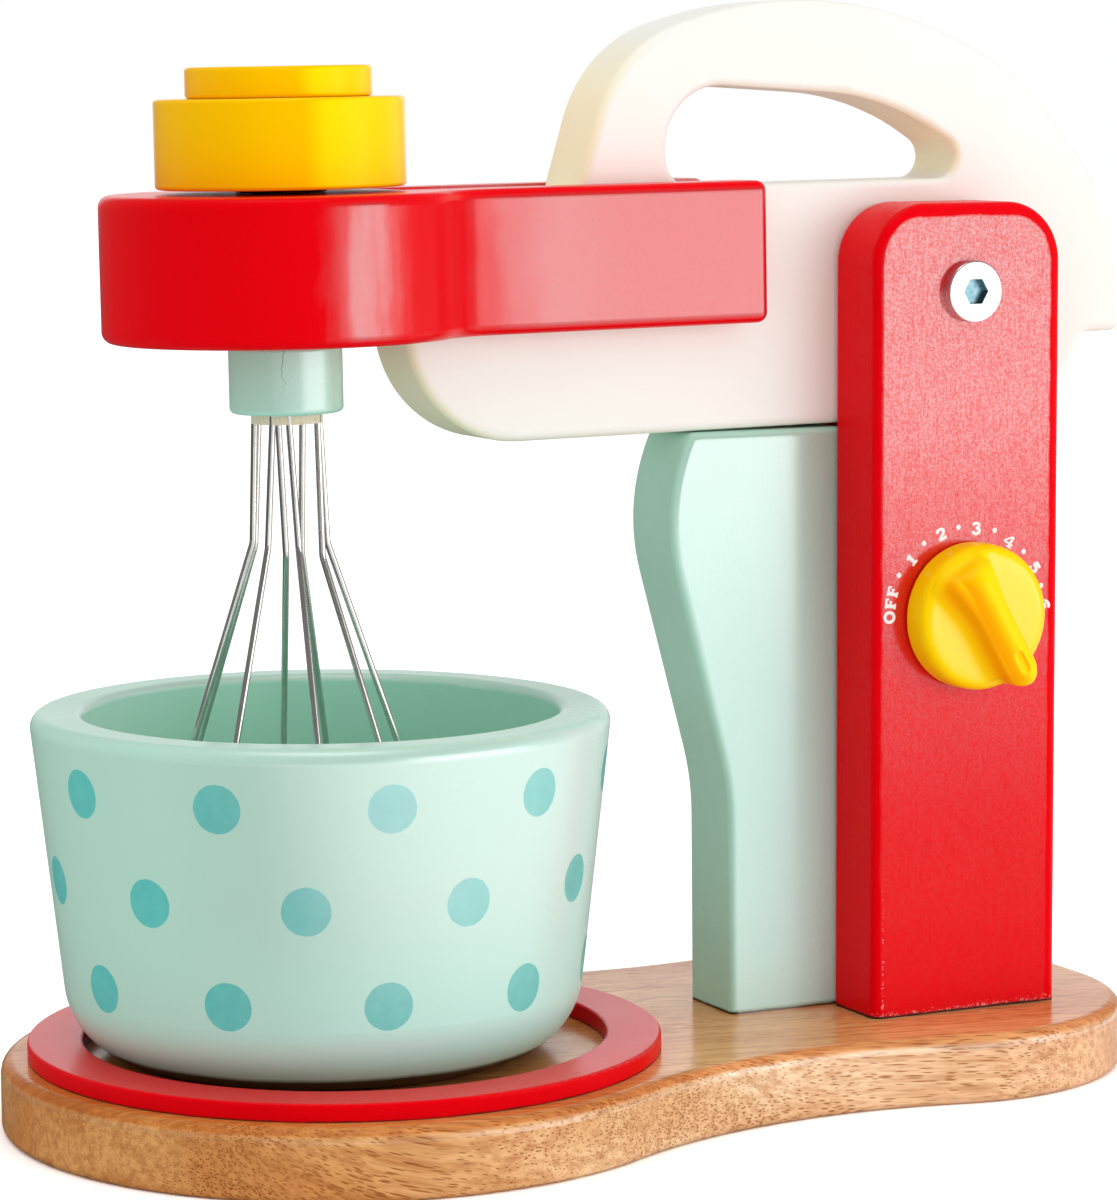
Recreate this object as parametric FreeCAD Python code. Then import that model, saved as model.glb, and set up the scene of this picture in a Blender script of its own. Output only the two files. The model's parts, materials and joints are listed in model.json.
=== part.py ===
import FreeCAD, Part
import math
import os

# A wooden toy stand mixer. A board carries a post made of two cheeks with a column between
# them. The arm tilts between the cheeks on a sleeve nut and carries the head, the turning
# knob and the whisk. A thick turned bowl stands loose inside a flat ring on the board.
# Lengths are millimetres and angles are degrees. X runs from the bowl to the post, Y runs
# to the back and Z runs up. The origin is on the table, below the centre of the ring.

V = FreeCAD.Vector
UP = V(0, 0, 1)
BACK = V(0, 1, 0)

# Base board
base_thickness = 16.0
bowl_lobe_radius = 78.9
bowl_lobe_shift = 0.9
post_lobe_radius = 52.0
post_lobe_half_flat = 5.5
waist_radius = 118.0
base_end_margin = 24.7
base_top_edge = 3.2
base_bottom_edge = 1.8

# Ring and bowl
ring_outer_radius = 72.0
ring_width = 12.6
ring_height = 4.0
ring_edge = 0.8
bowl_shift_left = 4.0
bowl_shift_back = 2.5
bowl_height = 78.4
bowl_foot_gap = 2.4
bowl_flare = 8.8
bowl_wall = 11.8
bowl_floor = 12.0
bowl_foot_edge = 18.0
bowl_floor_edge = 14.0
rim_outer_edge = 3.2
rim_inner_edge = 2.2

# Cheeks
cheek_thickness = 20.0
cheek_width = 50.0
cheek_height = 190.2
cheek_centre_x = 146.3
cheek_corner = 14.0
cheek_edge = 2.4

# Column, its wavy front edge given by its corners from the cheeks' front edge
column_thickness = 21.5
column_foot_reach = 27.0
hollow_corner_x = -27.3
hollow_corner_height = 53.6
hollow_radius = 64.0
bulge_corner_x = -45.3
bulge_corner_height = 120.2
bulge_radius = 47.4
column_top_reach = 37.7
column_top_edge = 2.6
column_edge = 2.0

# Pivot and the arm's swing
pivot_height = 169.7
arm_droop = 0.8
arm_seat_gap = 0.3
tail_swing_gap = 1.0
pocket_wall_inset = 1.9

# Where the whisk hangs: its axis stands this far to the left of the ring's centre
whisk_offset = 12.8

# Arm, its corners measured from the pivot with the arm level
nose_clearance = 12.5
arm_nose_radius = 27.5
arm_bottom_drop = 30.8
arm_top_rise = 25.6
arm_back_corner = 3.0
arm_edge = 2.3
tail_reach = 33.8
tail_cut_angle = 59.0
tail_ledge_drop = 12.4
tail_corner = 2.6
handle_foot_reach = 90.3
handle_front_lean = 10.3
handle_front_rise = 58.3
handle_front_radius = 32.5
handle_crown_share = 0.5287
handle_crown_rise = 74.1
handle_crown_sag = 14.125
handle_shoulder_corner = (26.3, 50.5)
handle_shoulder_radius = 52.0
handle_back_corner = (59.3, 12.2)
handle_back_radius = 59.0
grip_front_inset = 22.9
grip_front_radius = 6.6
grip_upper_inset = 21.0
grip_upper_rise = 49.6
grip_upper_radius = 14.4
grip_middle_corner = (-9.0, 45.2)
grip_middle_radius = 65.7
grip_tip_x = 20.7
grip_tip_radius = 5.0
grip_edge = 1.8

# Head block
head_round_radius = 40.5
head_waist_radius = 18.0
head_cheek = 12.0
head_end_gap = 22.9
head_top_rise = 26.8
head_height = 32.5
head_edge = 2.5
head_end_edge = 2.9

# Turning knob, spindle and their washers
knob_radius = 27.8
knob_height = 19.8
knob_cap_radius = 20.7
knob_cap_height = 6.9
knob_edge = 0.9
knob_washer_thickness = 0.9
hub_washer_thickness = 0.9
head_washer_radius = 10.0
turning_play = 0.15
spindle_radius = 6.0
spindle_in_knob = 13.0
spindle_in_hub = 6.0

# Whisk
hub_radius = 12.7
hub_height = 15.2
hub_edge = 1.2
plug_reach = 2.3
wire_radius = 0.75
wire_circle_radius = 7.25
kink_radius = 8.3
wire_bend = 5.0
whisk_wall_gap = 9.0
whisk_bottom_drop = 115.0
loop_step = 2.2
bottom_straight = 1.0

# The legs of the four hand-bent loops, two and two: where round the plug each starts, where
# round the axis it ends up, and how far below the hub it is bent outwards
leg_plug_angles = (157.8, -22.2, 129.8, -44.2, 221.2, 39.2, 83.6, 251.3)
leg_foot_angles = (157.8, -22.2, 139.6, -53.0, 211.4, 50.0, 74.4, 260.9)
leg_bend_drops = (29.0, 29.4, 30.1, 32.1, 29.7, 32.2, 32.9, 30.0)

# Pivot bolt and sleeve nut
bolt_head_radius = 7.15
bolt_head_height = 2.5
bolt_head_edge = 0.5
bolt_radius = 3.0
bolt_length = 28.0
hex_flats = 5.8
hex_depth = 2.0
sleeve_radius = 4.5
sleeve_length = 48.0
sleeve_bore_depth = 38.0
pivot_washer_radius = 11.0
pivot_washer_thickness = 0.5

# Dial
dial_height = 94.2
dial_radius = 17.3
dial_thickness = 8.0
dial_draft = 0.3
dial_shoulder = 3.0
dial_gap = 0.3
dial_pointer_angle = -60.0
grip_height = 14.6
grip_tail_reach = 15.6
grip_tail_slope = 3.0
grip_tail_round = 5.0
grip_nose_reach = 17.8
grip_half_width = 4.2
grip_crest_edge = 1.8
grip_hollow_foot = 5.2
grip_hollow_radius = 5.0
grip_hollow_width = 12.0
grip_sweep_lean = 4.5
grip_sink = 0.2
pointer_slot_length = 5.4
pointer_slot_width = 2.2
pointer_slot_corner = 0.9
pointer_slot_depth = 0.4
pointer_slot_end = 3.6
stem_radius = 4.0
dial_pocket_radius = 7.0
dial_pocket_depth = 5.0
dial_washer_radius = 6.0
dial_washer_thickness = 0.8
spring_washer_radius = 5.6
spring_washer_thickness = 0.5

# Screws and dowels
screw_radius = 2.0
screw_head_radius = 3.9
screw_head_height = 2.4
screw_cross_width = 0.9
screw_cross_share = 0.55
screw_cross_depth = 1.4
screw_hole_spare = 1.0
base_screw_length = 40.0
base_screw_recess = 1.0
cheek_screw_inset = 12.0
column_screw_front = 17.0
column_screw_back = 58.0
knob_screw_length = 25.0
dial_screw_length = 11.8
dial_screw_hole_depth = 12.0
dial_screw_radius = 1.5
dial_screw_head_radius = 3.2
dial_screw_head_height = 1.8
dial_screw_head_edge = 0.6
dowel_radius = 4.0
post_dowel_depth = 12.0
post_dowel_inset = 12.5
post_dowel_heights = (40.0, 112.0)
head_dowel_depth = 8.0
nose_dowel_inset = 21.9
neck_dowel_inset = 18.1
head_dowel_rise = 10.5

# Clearances
glue_clearance = 0.05
running_clearance = 0.08
screw_clearance = 0.15

# Two places nearer than this count as the same
same = 1e-3

# Places worked out from the sizes above
deck = base_thickness
ring_inner_radius = ring_outer_radius - ring_width
bowl_centre = V(-bowl_shift_left, bowl_shift_back, 0)
bowl_foot_radius = ring_inner_radius - bowl_foot_gap
bowl_mouth_radius = bowl_foot_radius + bowl_flare
bowl_inner_radius = bowl_mouth_radius - bowl_wall
cheek_front_x = cheek_centre_x - cheek_width / 2
cheek_back_x = cheek_centre_x + cheek_width / 2
post_front_y = -column_thickness / 2 - cheek_thickness
post_back_y = -post_front_y
pivot = V(cheek_centre_x, 0, deck + pivot_height)
whisk_reach = cheek_centre_x + whisk_offset
arm_nose_reach = whisk_reach - hub_radius - nose_clearance
head_end_reach = cheek_width / 2 + head_end_gap
arm_thickness = column_thickness - 2 * pivot_washer_thickness
droop_sine = math.sin(math.radians(arm_droop))
droop_cosine = math.cos(math.radians(arm_droop))
column_front_x = cheek_front_x - column_top_reach
arm_rise_at_column = arm_bottom_drop * droop_cosine + (pivot.x - column_front_x) * droop_sine
column_height = pivot_height - arm_rise_at_column - arm_seat_gap
whisk_x = pivot.x - whisk_reach
head_top = pivot.z + head_top_rise
head_bottom = head_top - head_height
knob_bottom = head_top + turning_play + knob_washer_thickness
hub_top = head_bottom - turning_play - hub_washer_thickness
hub_bottom = hub_top - hub_height
hub_bore_radius = wire_circle_radius + wire_radius + glue_clearance
whisk_foot_radius = bowl_inner_radius - (whisk_offset - bowl_shift_left) - whisk_wall_gap
whisk_flare = (whisk_foot_radius - kink_radius) / (whisk_bottom_drop - leg_bend_drops[0])
dial_face_y = post_front_y - dial_gap


def corner_cut(before, corner, after, radius):
    """Where a rounded corner starts, its middle and where it ends."""
    back = (before - corner).normalize()
    ahead = (after - corner).normalize()
    half = back.getAngle(ahead) / 2
    along = radius / math.tan(half)
    inward = (back + ahead).normalize() * (radius / math.sin(half) - radius)
    return corner + back * along, corner + inward, corner + ahead * along


def add_line(edges, start, end):
    if start.distanceToPoint(end) > same:
        edges.append(Part.LineSegment(start, end).toShape())


def rounded_path(points, radii):
    """An open wire of straight runs and tangent arcs, sharp only at its two ends."""
    edges = []
    last = points[0]
    for i in range(1, len(points) - 1):
        start, middle, end = corner_cut(points[i - 1], points[i], points[i + 1], radii[i - 1])
        add_line(edges, last, start)
        edges.append(Part.Arc(start, middle, end).toShape())
        last = end
    add_line(edges, last, points[-1])
    return Part.Wire(edges)


def rounded_outline(corners, place):
    """A closed wire through corners of (u, v, radius), each rounded by its own radius."""
    points = [place(corner[0], corner[1]) for corner in corners]
    edges = []
    ends = []
    for i in range(len(corners)):
        radius = corners[i][2]
        if radius > 0:
            start, middle, end = corner_cut(points[i - 1], points[i], points[(i + 1) % len(points)], radius)
            edges.append(Part.Arc(start, middle, end).toShape())
            ends.append((start, end))
        else:
            ends.append((points[i], points[i]))
    for i in range(len(ends)):
        add_line(edges, ends[i - 1][1], ends[i][0])
    return Part.Wire(Part.__sortEdges__(edges))


def upright(y):
    """Places an outline in the upright plane at this y."""
    return lambda u, v: V(u, y, v)


def board(corners, thickness):
    """An upright board centred on the plane y = 0."""
    wire = rounded_outline(corners, upright(-thickness / 2))
    return Part.Face(wire).extrude(BACK * thickness)


def rod(radius, length, start, direction):
    return Part.makeCylinder(radius, length, start, direction)


def round_edges(shape, radius, wanted):
    """Rounds the edges for which wanted(edge) is true."""
    return shape.makeFillet(radius, [edge for edge in shape.Edges if wanted(edge)])


def lies_across(edge):
    """True for an edge that lies in one plane of constant y."""
    return edge.BoundBox.YLength < same


def runs_through(edge):
    """True for a straight edge that runs along Y."""
    box = edge.BoundBox
    return box.XLength < same and box.ZLength < same


def settled(shape):
    """Tips a piece that was built with the arm level to where the arm rests."""
    shape.rotate(pivot, BACK, -arm_droop)
    return shape


def arc_about(centre, radius, start_angle, end_angle, place):
    """An arc by its centre, radius and two angles in radians."""
    angles = (start_angle, (start_angle + end_angle) / 2, end_angle)
    points = [place(centre[0] + radius * math.cos(a), centre[1] + radius * math.sin(a)) for a in angles]
    return Part.Arc(*points).toShape()


def waist_centre(first, first_radius, second, second_radius):
    """The point at the given distances from two centres, on the +v side."""
    span = math.dist(first, second)
    along = (first_radius ** 2 - second_radius ** 2 + span ** 2) / (2 * span)
    aside = math.sqrt(first_radius ** 2 - along ** 2)
    ux, uy = (second[0] - first[0]) / span, (second[1] - first[1]) / span
    return (first[0] + ux * along - uy * aside, first[1] + uy * along + ux * aside)


def countersunk_screw(radius, length, head_radius, head_height, top, direction):
    """A screw whose flat head is at top and whose shank runs along direction."""
    head = Part.makeCone(head_radius, radius, head_height, top, direction)
    screw = head.fuse(rod(radius, length, top, direction)).removeSplitter()
    side = V(1, 0, 0)
    other = direction.cross(side)
    for along, across in ((side, other), (other, side)):
        half_length = head_radius * screw_cross_share
        corner = top - along * half_length - across * (screw_cross_width / 2)
        face = Part.Face(Part.makePolygon([
            corner,
            corner + along * (2 * half_length),
            corner + along * (2 * half_length) + across * screw_cross_width,
            corner + across * screw_cross_width,
            corner,
        ]))
        screw = screw.cut(face.extrude(direction * screw_cross_depth))
    return screw


def screw_hole(length, top, direction):
    """The room for a base or knob screw: its way in, its countersink and its hole."""
    seat = Part.makeCone(
        screw_head_radius + screw_clearance,
        screw_radius + screw_clearance,
        screw_head_height,
        top,
        direction,
    )
    way_in = top - direction * screw_head_height
    mouth = rod(screw_head_radius + screw_clearance, screw_head_height, way_in, direction)
    hole = rod(screw_radius + glue_clearance, length + screw_hole_spare, top, direction)
    return seat.fuse(hole).fuse(mouth)


# Base, ring and bowl
def base_outline():
    """Plan of the board: two lobes joined by a hollow waist on both sides."""
    bowl_lobe = (bowl_lobe_shift, 0)
    post_end_x = cheek_back_x + base_end_margin
    corner = (post_end_x - post_lobe_radius, post_lobe_half_flat)
    waist = waist_centre(
        bowl_lobe, bowl_lobe_radius + waist_radius, corner, post_lobe_radius + waist_radius
    )
    to_bowl = math.atan2(bowl_lobe[1] - waist[1], bowl_lobe[0] - waist[0])
    to_post = math.atan2(corner[1] - waist[1], corner[0] - waist[0])
    bowl_side = to_bowl + math.pi
    post_side = to_post + math.pi
    edges = []
    for side in (1, -1):
        def place(u, v, side=side):
            return V(u, v * side, 0)
        edges.append(arc_about(corner, post_lobe_radius, 0, post_side, place))
        edges.append(arc_about(waist, waist_radius, to_post, to_bowl, place))
        edges.append(arc_about(bowl_lobe, bowl_lobe_radius, bowl_side, math.pi, place))
    edges.append(Part.LineSegment(
        V(post_end_x, -post_lobe_half_flat, 0), V(post_end_x, post_lobe_half_flat, 0)
    ).toShape())
    return Part.Wire(Part.__sortEdges__(edges))


def base_screw_places():
    """Where the screws rise through the board, two into each upright."""
    cheek_y = (column_thickness + cheek_thickness) / 2
    places = []
    for y in (-cheek_y, cheek_y):
        places.append((cheek_front_x + cheek_screw_inset, y))
        places.append((cheek_back_x - cheek_screw_inset, y))
    column_x = cheek_front_x - column_foot_reach
    places.append((column_x + column_screw_front, 0))
    places.append((column_x + column_screw_back, 0))
    return places


def drill_for_base_screws(shape):
    for x, y in base_screw_places():
        shape = shape.cut(screw_hole(base_screw_length, V(x, y, base_screw_recess), UP))
    return shape


def make_base_board():
    slab = Part.Face(base_outline()).extrude(UP * base_thickness)
    top = round_edges(slab, base_top_edge, lambda e: e.BoundBox.ZMin > base_thickness - same)
    both = round_edges(top, base_bottom_edge, lambda e: e.BoundBox.ZMax < same)
    return drill_for_base_screws(both)


def make_base_screws():
    return Part.makeCompound([
        countersunk_screw(
            screw_radius, base_screw_length, screw_head_radius, screw_head_height,
            V(x, y, base_screw_recess), UP,
        )
        for x, y in base_screw_places()
    ])


def make_bowl_ring():
    disc = rod(ring_outer_radius, ring_height, V(0, 0, deck), UP)
    ring = disc.cut(rod(ring_inner_radius, ring_height, V(0, 0, deck), UP))
    return round_edges(ring, ring_edge, lambda e: e.BoundBox.ZMin > deck + ring_height - same)


def make_bowl():
    """One thick turned shape, its wall leaning out towards the rim."""
    lean = bowl_flare / bowl_height
    inner_foot = bowl_inner_radius - lean * (bowl_height - bowl_floor)
    profile = rounded_outline([
        (0, 0, 0),
        (bowl_foot_radius, 0, bowl_foot_edge),
        (bowl_mouth_radius, bowl_height, rim_outer_edge),
        (bowl_inner_radius, bowl_height, rim_inner_edge),
        (inner_foot, bowl_floor, bowl_floor_edge),
        (0, bowl_floor, 0),
    ], lambda u, v: bowl_centre + V(u, 0, deck + v))
    return Part.Face(profile).revolve(bowl_centre, UP, 360)


# Post
def post_dowel_places():
    return [
        (x, z)
        for x in (cheek_front_x + post_dowel_inset, cheek_back_x - post_dowel_inset)
        for z in post_dowel_heights
    ]


def post_dowel_rods(radius, half_length):
    return [
        rod(radius, 2 * half_length, V(x, -half_length, deck + z), BACK)
        for x, z in post_dowel_places()
    ]


def make_post_dowels():
    return Part.makeCompound(post_dowel_rods(dowel_radius, column_thickness / 2 + post_dowel_depth))


def drill_post(shape):
    """Holes for the cross dowels, a little longer and wider than the dowels."""
    half_length = column_thickness / 2 + post_dowel_depth + glue_clearance
    for hole in post_dowel_rods(dowel_radius + glue_clearance, half_length):
        shape = shape.cut(hole)
    return shape


def make_cheek(middle_y):
    """A plain upright cheek with two round top corners, centred on middle_y."""
    cheek = board([
        (cheek_front_x, deck, 0),
        (cheek_back_x, deck, 0),
        (cheek_back_x, deck + cheek_height, cheek_corner),
        (cheek_front_x, deck + cheek_height, cheek_corner),
    ], cheek_thickness)
    cheek = round_edges(cheek, cheek_edge, lambda e: lies_across(e) and e.BoundBox.ZMax > deck + same)
    cheek.translate(BACK * middle_y)
    axle_start = V(pivot.x, post_front_y, pivot.z)
    axle_hole = rod(sleeve_radius + running_clearance, 2 * post_back_y, axle_start, BACK)
    return drill_for_base_screws(drill_post(cheek.cut(axle_hole)))


def make_front_cheek():
    cheek = make_cheek(-(column_thickness + cheek_thickness) / 2)
    at_dial = V(cheek_centre_x, post_front_y, deck + dial_height)
    stem_hole = rod(stem_radius + running_clearance, cheek_thickness, at_dial, BACK)
    pocket_start = at_dial + BACK * (cheek_thickness - dial_pocket_depth)
    pocket = rod(dial_pocket_radius, dial_pocket_depth, pocket_start, BACK)
    return cheek.cut(stem_hole).cut(pocket)


def make_back_cheek():
    return make_cheek((column_thickness + cheek_thickness) / 2)


def make_support_column():
    """Its front edge waves; a round pocket behind leaves room for the arm's tail."""
    column = board([
        (cheek_front_x - column_foot_reach, deck, 0),
        (cheek_back_x, deck, 0),
        (cheek_back_x, deck + column_height, 0),
        (column_front_x, deck + column_height, column_top_edge),
        (cheek_front_x + bulge_corner_x, deck + bulge_corner_height, bulge_radius),
        (cheek_front_x + hollow_corner_x, deck + hollow_corner_height, hollow_radius),
    ], column_thickness)
    front = cheek_front_x + same
    column = round_edges(
        column,
        column_edge,
        lambda e: lies_across(e) and e.BoundBox.XMax < front and e.BoundBox.ZMax > deck + same,
    )
    wall_x = cheek_front_x + pocket_wall_inset
    swing_start = pivot - BACK * (column_thickness / 2)
    swing = rod(tail_swing_radius() + tail_swing_gap, column_thickness, swing_start, BACK)
    room = Part.makeBox(
        cheek_width, column_thickness, pivot_height, V(wall_x, -column_thickness / 2, deck)
    )
    return drill_for_base_screws(drill_post(column.cut(swing.common(room))))


# Arm
def tail_corners():
    """The two lower corners of the tail, from the pivot."""
    run = (arm_bottom_drop - tail_ledge_drop) / math.tan(math.radians(tail_cut_angle))
    return (tail_reach, -arm_bottom_drop), (tail_reach + run, -tail_ledge_drop)


def tail_swing_radius():
    """The farthest that the tail's cut corners reach from the pivot."""
    low, high = tail_corners()
    return max(math.hypot(*low), math.hypot(*high))


def from_pivot(corner, radius):
    return (pivot.x + corner[0], pivot.z + corner[1], radius)


def tail_notch():
    """What is cut away behind and below the tail, so that it can swing down."""
    low, high = tail_corners()
    far = 2 * arm_bottom_drop
    run = (far - tail_ledge_drop) / math.tan(math.radians(tail_cut_angle))
    return board([
        from_pivot(high, 0),
        from_pivot((high[0] + far, high[1]), 0),
        from_pivot((high[0] + far, -far), 0),
        from_pivot((high[0] - run, -far), 0),
    ], 2 * arm_thickness)


def handle_outline():
    """The arm's outline; the handle's crown is as flat as its span and its sag make it."""
    bottom_reach = tail_reach + (arm_bottom_drop - tail_ledge_drop)
    front_x = handle_front_lean - handle_foot_reach
    span = handle_shoulder_corner[0] - front_x
    crown_corner = (front_x + span * handle_crown_share, handle_crown_rise)
    crown_radius = span ** 2 / (8 * handle_crown_sag)
    return [
        from_pivot((-arm_nose_reach, arm_top_rise), arm_back_corner),
        from_pivot((-arm_nose_reach, -arm_bottom_drop), arm_nose_radius),
        from_pivot((bottom_reach, -arm_bottom_drop), 0),
        from_pivot(handle_back_corner, handle_back_radius),
        from_pivot(handle_shoulder_corner, handle_shoulder_radius),
        from_pivot(crown_corner, crown_radius),
        from_pivot((front_x, handle_front_rise), handle_front_radius),
        from_pivot((-handle_foot_reach, arm_top_rise), 0),
    ]


def grip_hole():
    return board([
        from_pivot((grip_front_inset - handle_foot_reach, arm_top_rise), grip_front_radius),
        from_pivot((grip_upper_inset - handle_foot_reach, grip_upper_rise), grip_upper_radius),
        from_pivot(grip_middle_corner, grip_middle_radius),
        from_pivot((grip_tip_x, arm_top_rise), grip_tip_radius),
    ], 2 * arm_thickness)


def head_dowel_rods(radius, half_length):
    reaches = (arm_nose_reach - nose_dowel_inset, head_end_reach + neck_dowel_inset)
    return [
        rod(radius, 2 * half_length, pivot + V(-reach, -half_length, head_dowel_rise), BACK)
        for reach in reaches
    ]


def drill_head(shape):
    half_length = arm_thickness / 2 + head_dowel_depth + glue_clearance
    for hole in head_dowel_rods(dowel_radius + glue_clearance, half_length):
        shape = shape.cut(hole)
    return shape


def make_mixer_arm():
    """The arm and its D handle are one board with every edge rounded."""
    arm = board(handle_outline(), arm_thickness).cut(tail_notch())
    near_tail = pivot.x + tail_reach - tail_corner
    arm = round_edges(arm, tail_corner, lambda e: runs_through(e) and e.BoundBox.XMin > near_tail)
    arm = round_edges(arm, arm_edge, lies_across)
    hole = grip_hole()
    arm = arm.cut(hole)
    inside = hole.BoundBox
    inside.enlarge(same)
    arm = round_edges(arm, grip_edge, lambda e: lies_across(e) and inside.isInside(e.BoundBox))
    axle_start = pivot - BACK * (arm_thickness / 2)
    axle_hole = rod(sleeve_radius + running_clearance, arm_thickness, axle_start, BACK)
    return settled(drill_head(arm.cut(axle_hole)))


def head_outline():
    """Plan of the head: a round front that narrows through hollows to a straight neck."""
    half_neck = arm_thickness / 2 + head_cheek
    reach = math.sqrt((head_round_radius + head_waist_radius) ** 2 - (half_neck + head_waist_radius) ** 2)
    waist = (whisk_x + reach, half_neck + head_waist_radius)
    end_x = pivot.x - head_end_reach
    turn = math.atan2(waist[1], reach)
    edges = []
    for side in (1, -1):
        def place(u, v, side=side):
            return V(u, v * side, head_bottom)
        edges.append(arc_about((whisk_x, 0), head_round_radius, math.pi, turn, place))
        edges.append(arc_about(waist, head_waist_radius, turn - math.pi, -math.pi / 2, place))
        edges.append(Part.LineSegment(place(waist[0], half_neck), place(end_x, half_neck)).toShape())
    ends = [V(end_x, y, head_bottom) for y in (-half_neck, half_neck)]
    edges.append(Part.LineSegment(*ends).toShape())
    return Part.Wire(Part.__sortEdges__(edges))


def make_head_block():
    block = Part.Face(head_outline()).extrude(UP * head_height)
    end_x = pivot.x - head_end_reach
    block = round_edges(
        block, head_end_edge, lambda e: e.BoundBox.XMin > end_x - same and e.BoundBox.ZLength > head_edge
    )
    block = round_edges(block, head_edge, lambda e: e.BoundBox.ZLength < same)
    slot = board([
        (pivot.x - arm_nose_reach, head_bottom - head_edge, 0),
        (pivot.x, head_bottom - head_edge, 0),
        (pivot.x, head_top + head_edge, 0),
        (pivot.x - arm_nose_reach, head_top + head_edge, 0),
    ], arm_thickness)
    spindle_hole = rod(spindle_radius + running_clearance, head_height, V(whisk_x, 0, head_bottom), UP)
    return settled(drill_head(block.cut(slot)).cut(spindle_hole))


def make_head_dowels():
    return settled(Part.makeCompound(head_dowel_rods(dowel_radius, arm_thickness / 2 + head_dowel_depth)))


# Knob, spindle and whisk, which turn together
def on_whisk_axis(z):
    return V(whisk_x, 0, z)


def turned_disc(radius, height, bottom, edge):
    """A turned disc on the whisk's axis with both its rims rounded."""
    disc = rod(radius, height, on_whisk_axis(bottom), UP)
    return round_edges(disc, edge, lambda e: e.BoundBox.ZLength < same)


def knob_screw_top():
    return on_whisk_axis(knob_bottom + knob_height)


def make_knob_base():
    knob = turned_disc(knob_radius, knob_height, knob_bottom, knob_edge)
    knob = knob.cut(rod(spindle_radius + glue_clearance, spindle_in_knob, on_whisk_axis(knob_bottom), UP))
    return settled(knob.cut(screw_hole(knob_screw_length, knob_screw_top(), -UP)))


def make_knob_cap():
    return settled(turned_disc(knob_cap_radius, knob_cap_height, knob_bottom + knob_height, knob_edge))


def make_knob_screw():
    return settled(countersunk_screw(
        screw_radius, knob_screw_length, screw_head_radius, screw_head_height, knob_screw_top(), -UP
    ))


def make_spindle():
    bottom = hub_top - spindle_in_hub
    top = knob_bottom + spindle_in_knob
    spindle = rod(spindle_radius, top - bottom, on_whisk_axis(bottom), UP)
    pilot = rod(screw_radius + glue_clearance, knob_screw_length + screw_hole_spare, knob_screw_top(), -UP)
    return settled(spindle.cut(pilot))


def thin_ring(outer_radius, inner_radius, thickness, start, direction):
    outer = rod(outer_radius, thickness, start, direction)
    return outer.cut(rod(inner_radius, thickness, start, direction))


def make_knob_washer():
    start = on_whisk_axis(knob_bottom - knob_washer_thickness)
    return settled(thin_ring(
        head_washer_radius, spindle_radius + glue_clearance, knob_washer_thickness, start, UP
    ))


def make_hub_washer():
    return settled(thin_ring(
        head_washer_radius, spindle_radius + glue_clearance, hub_washer_thickness, on_whisk_axis(hub_top), UP
    ))


def make_whisk_hub():
    hub = turned_disc(hub_radius, hub_height, hub_bottom, hub_edge)
    hub = hub.cut(rod(spindle_radius + glue_clearance, hub_height, on_whisk_axis(hub_bottom), UP))
    plug_depth = hub_height - spindle_in_hub
    return settled(hub.cut(rod(hub_bore_radius, plug_depth, on_whisk_axis(hub_bottom), UP)))


def round_axis(radius, angle, z):
    """A point at this distance and direction from the whisk's axis."""
    turn = math.radians(angle)
    return V(whisk_x + radius * math.cos(turn), radius * math.sin(turn), z)


def make_whisk_plug():
    """A wooden plug with a groove for each wire leg."""
    height = plug_reach + hub_height - spindle_in_hub
    bottom_z = hub_bottom - plug_reach
    plug = rod(hub_bore_radius - glue_clearance, height, on_whisk_axis(bottom_z), UP)
    for angle in leg_plug_angles:
        start = round_axis(wire_circle_radius, angle, bottom_z)
        plug = plug.cut(rod(wire_radius + glue_clearance, height, start, UP))
    return settled(plug)


def leg_points(leg, bottom_z):
    """A leg's corners: in the hub, at the plug's face, at its bend and at its foot."""
    plug_angle = leg_plug_angles[leg]
    foot_angle = leg_foot_angles[leg]
    bend_z = hub_bottom - leg_bend_drops[leg]
    foot_radius = kink_radius + (bend_z - bottom_z) * whisk_flare
    return [
        round_axis(wire_circle_radius, plug_angle, hub_top - spindle_in_hub),
        round_axis(wire_circle_radius, plug_angle, hub_bottom - plug_reach),
        round_axis(kink_radius, foot_angle, bend_z),
        round_axis(foot_radius, foot_angle, bottom_z),
    ]


def foot_bend(bend, foot, other_foot):
    """The radius that rounds a foot all the way to the middle of the loop's bottom."""
    half_angle = (bend - foot).getAngle(other_foot - foot) / 2
    room = (foot.distanceToPoint(other_foot) - bottom_straight) / 2
    return room * math.tan(half_angle)


def loop_path(index):
    """One wire: down from the plug, out from its bend, round the bottom and back up."""
    bottom_z = hub_bottom - whisk_bottom_drop + loop_step * index
    first = leg_points(2 * index, bottom_z)
    second = leg_points(2 * index + 1, bottom_z)
    radii = [wire_bend, wire_bend, foot_bend(first[2], first[3], second[3])]
    radii += [foot_bend(second[2], second[3], first[3]), wire_bend, wire_bend]
    return rounded_path(first + second[::-1], radii)


def make_whisk_loop(index):
    path = loop_path(index)
    start = path.OrderedVertexes[0].Point
    section = Part.Wire(Part.makeCircle(wire_radius, start, UP))
    loop = path.makePipeShell([section], True, False)
    expected = math.pi * wire_radius ** 2 * path.Length
    print("whisk loop", index + 1, "volume over section times length", round(loop.Volume / expected, 4))
    return settled(loop)


# Pivot
def flat_bolt_head(start, direction):
    head = rod(bolt_head_radius, bolt_head_height, start, direction)
    far = start + direction * bolt_head_height
    return round_edges(head, bolt_head_edge, lambda e: abs(e.BoundBox.Center.y - far.y) < same)


def hex_socket(face, inward):
    """A six-sided recess that starts at face and runs inward."""
    corner = hex_flats / math.sqrt(3)
    points = []
    for i in range(7):
        angle = math.radians(60 * i)
        points.append(face + V(corner * math.cos(angle), 0, corner * math.sin(angle)))
    return Part.Face(Part.makePolygon(points)).extrude(inward * hex_depth)


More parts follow.
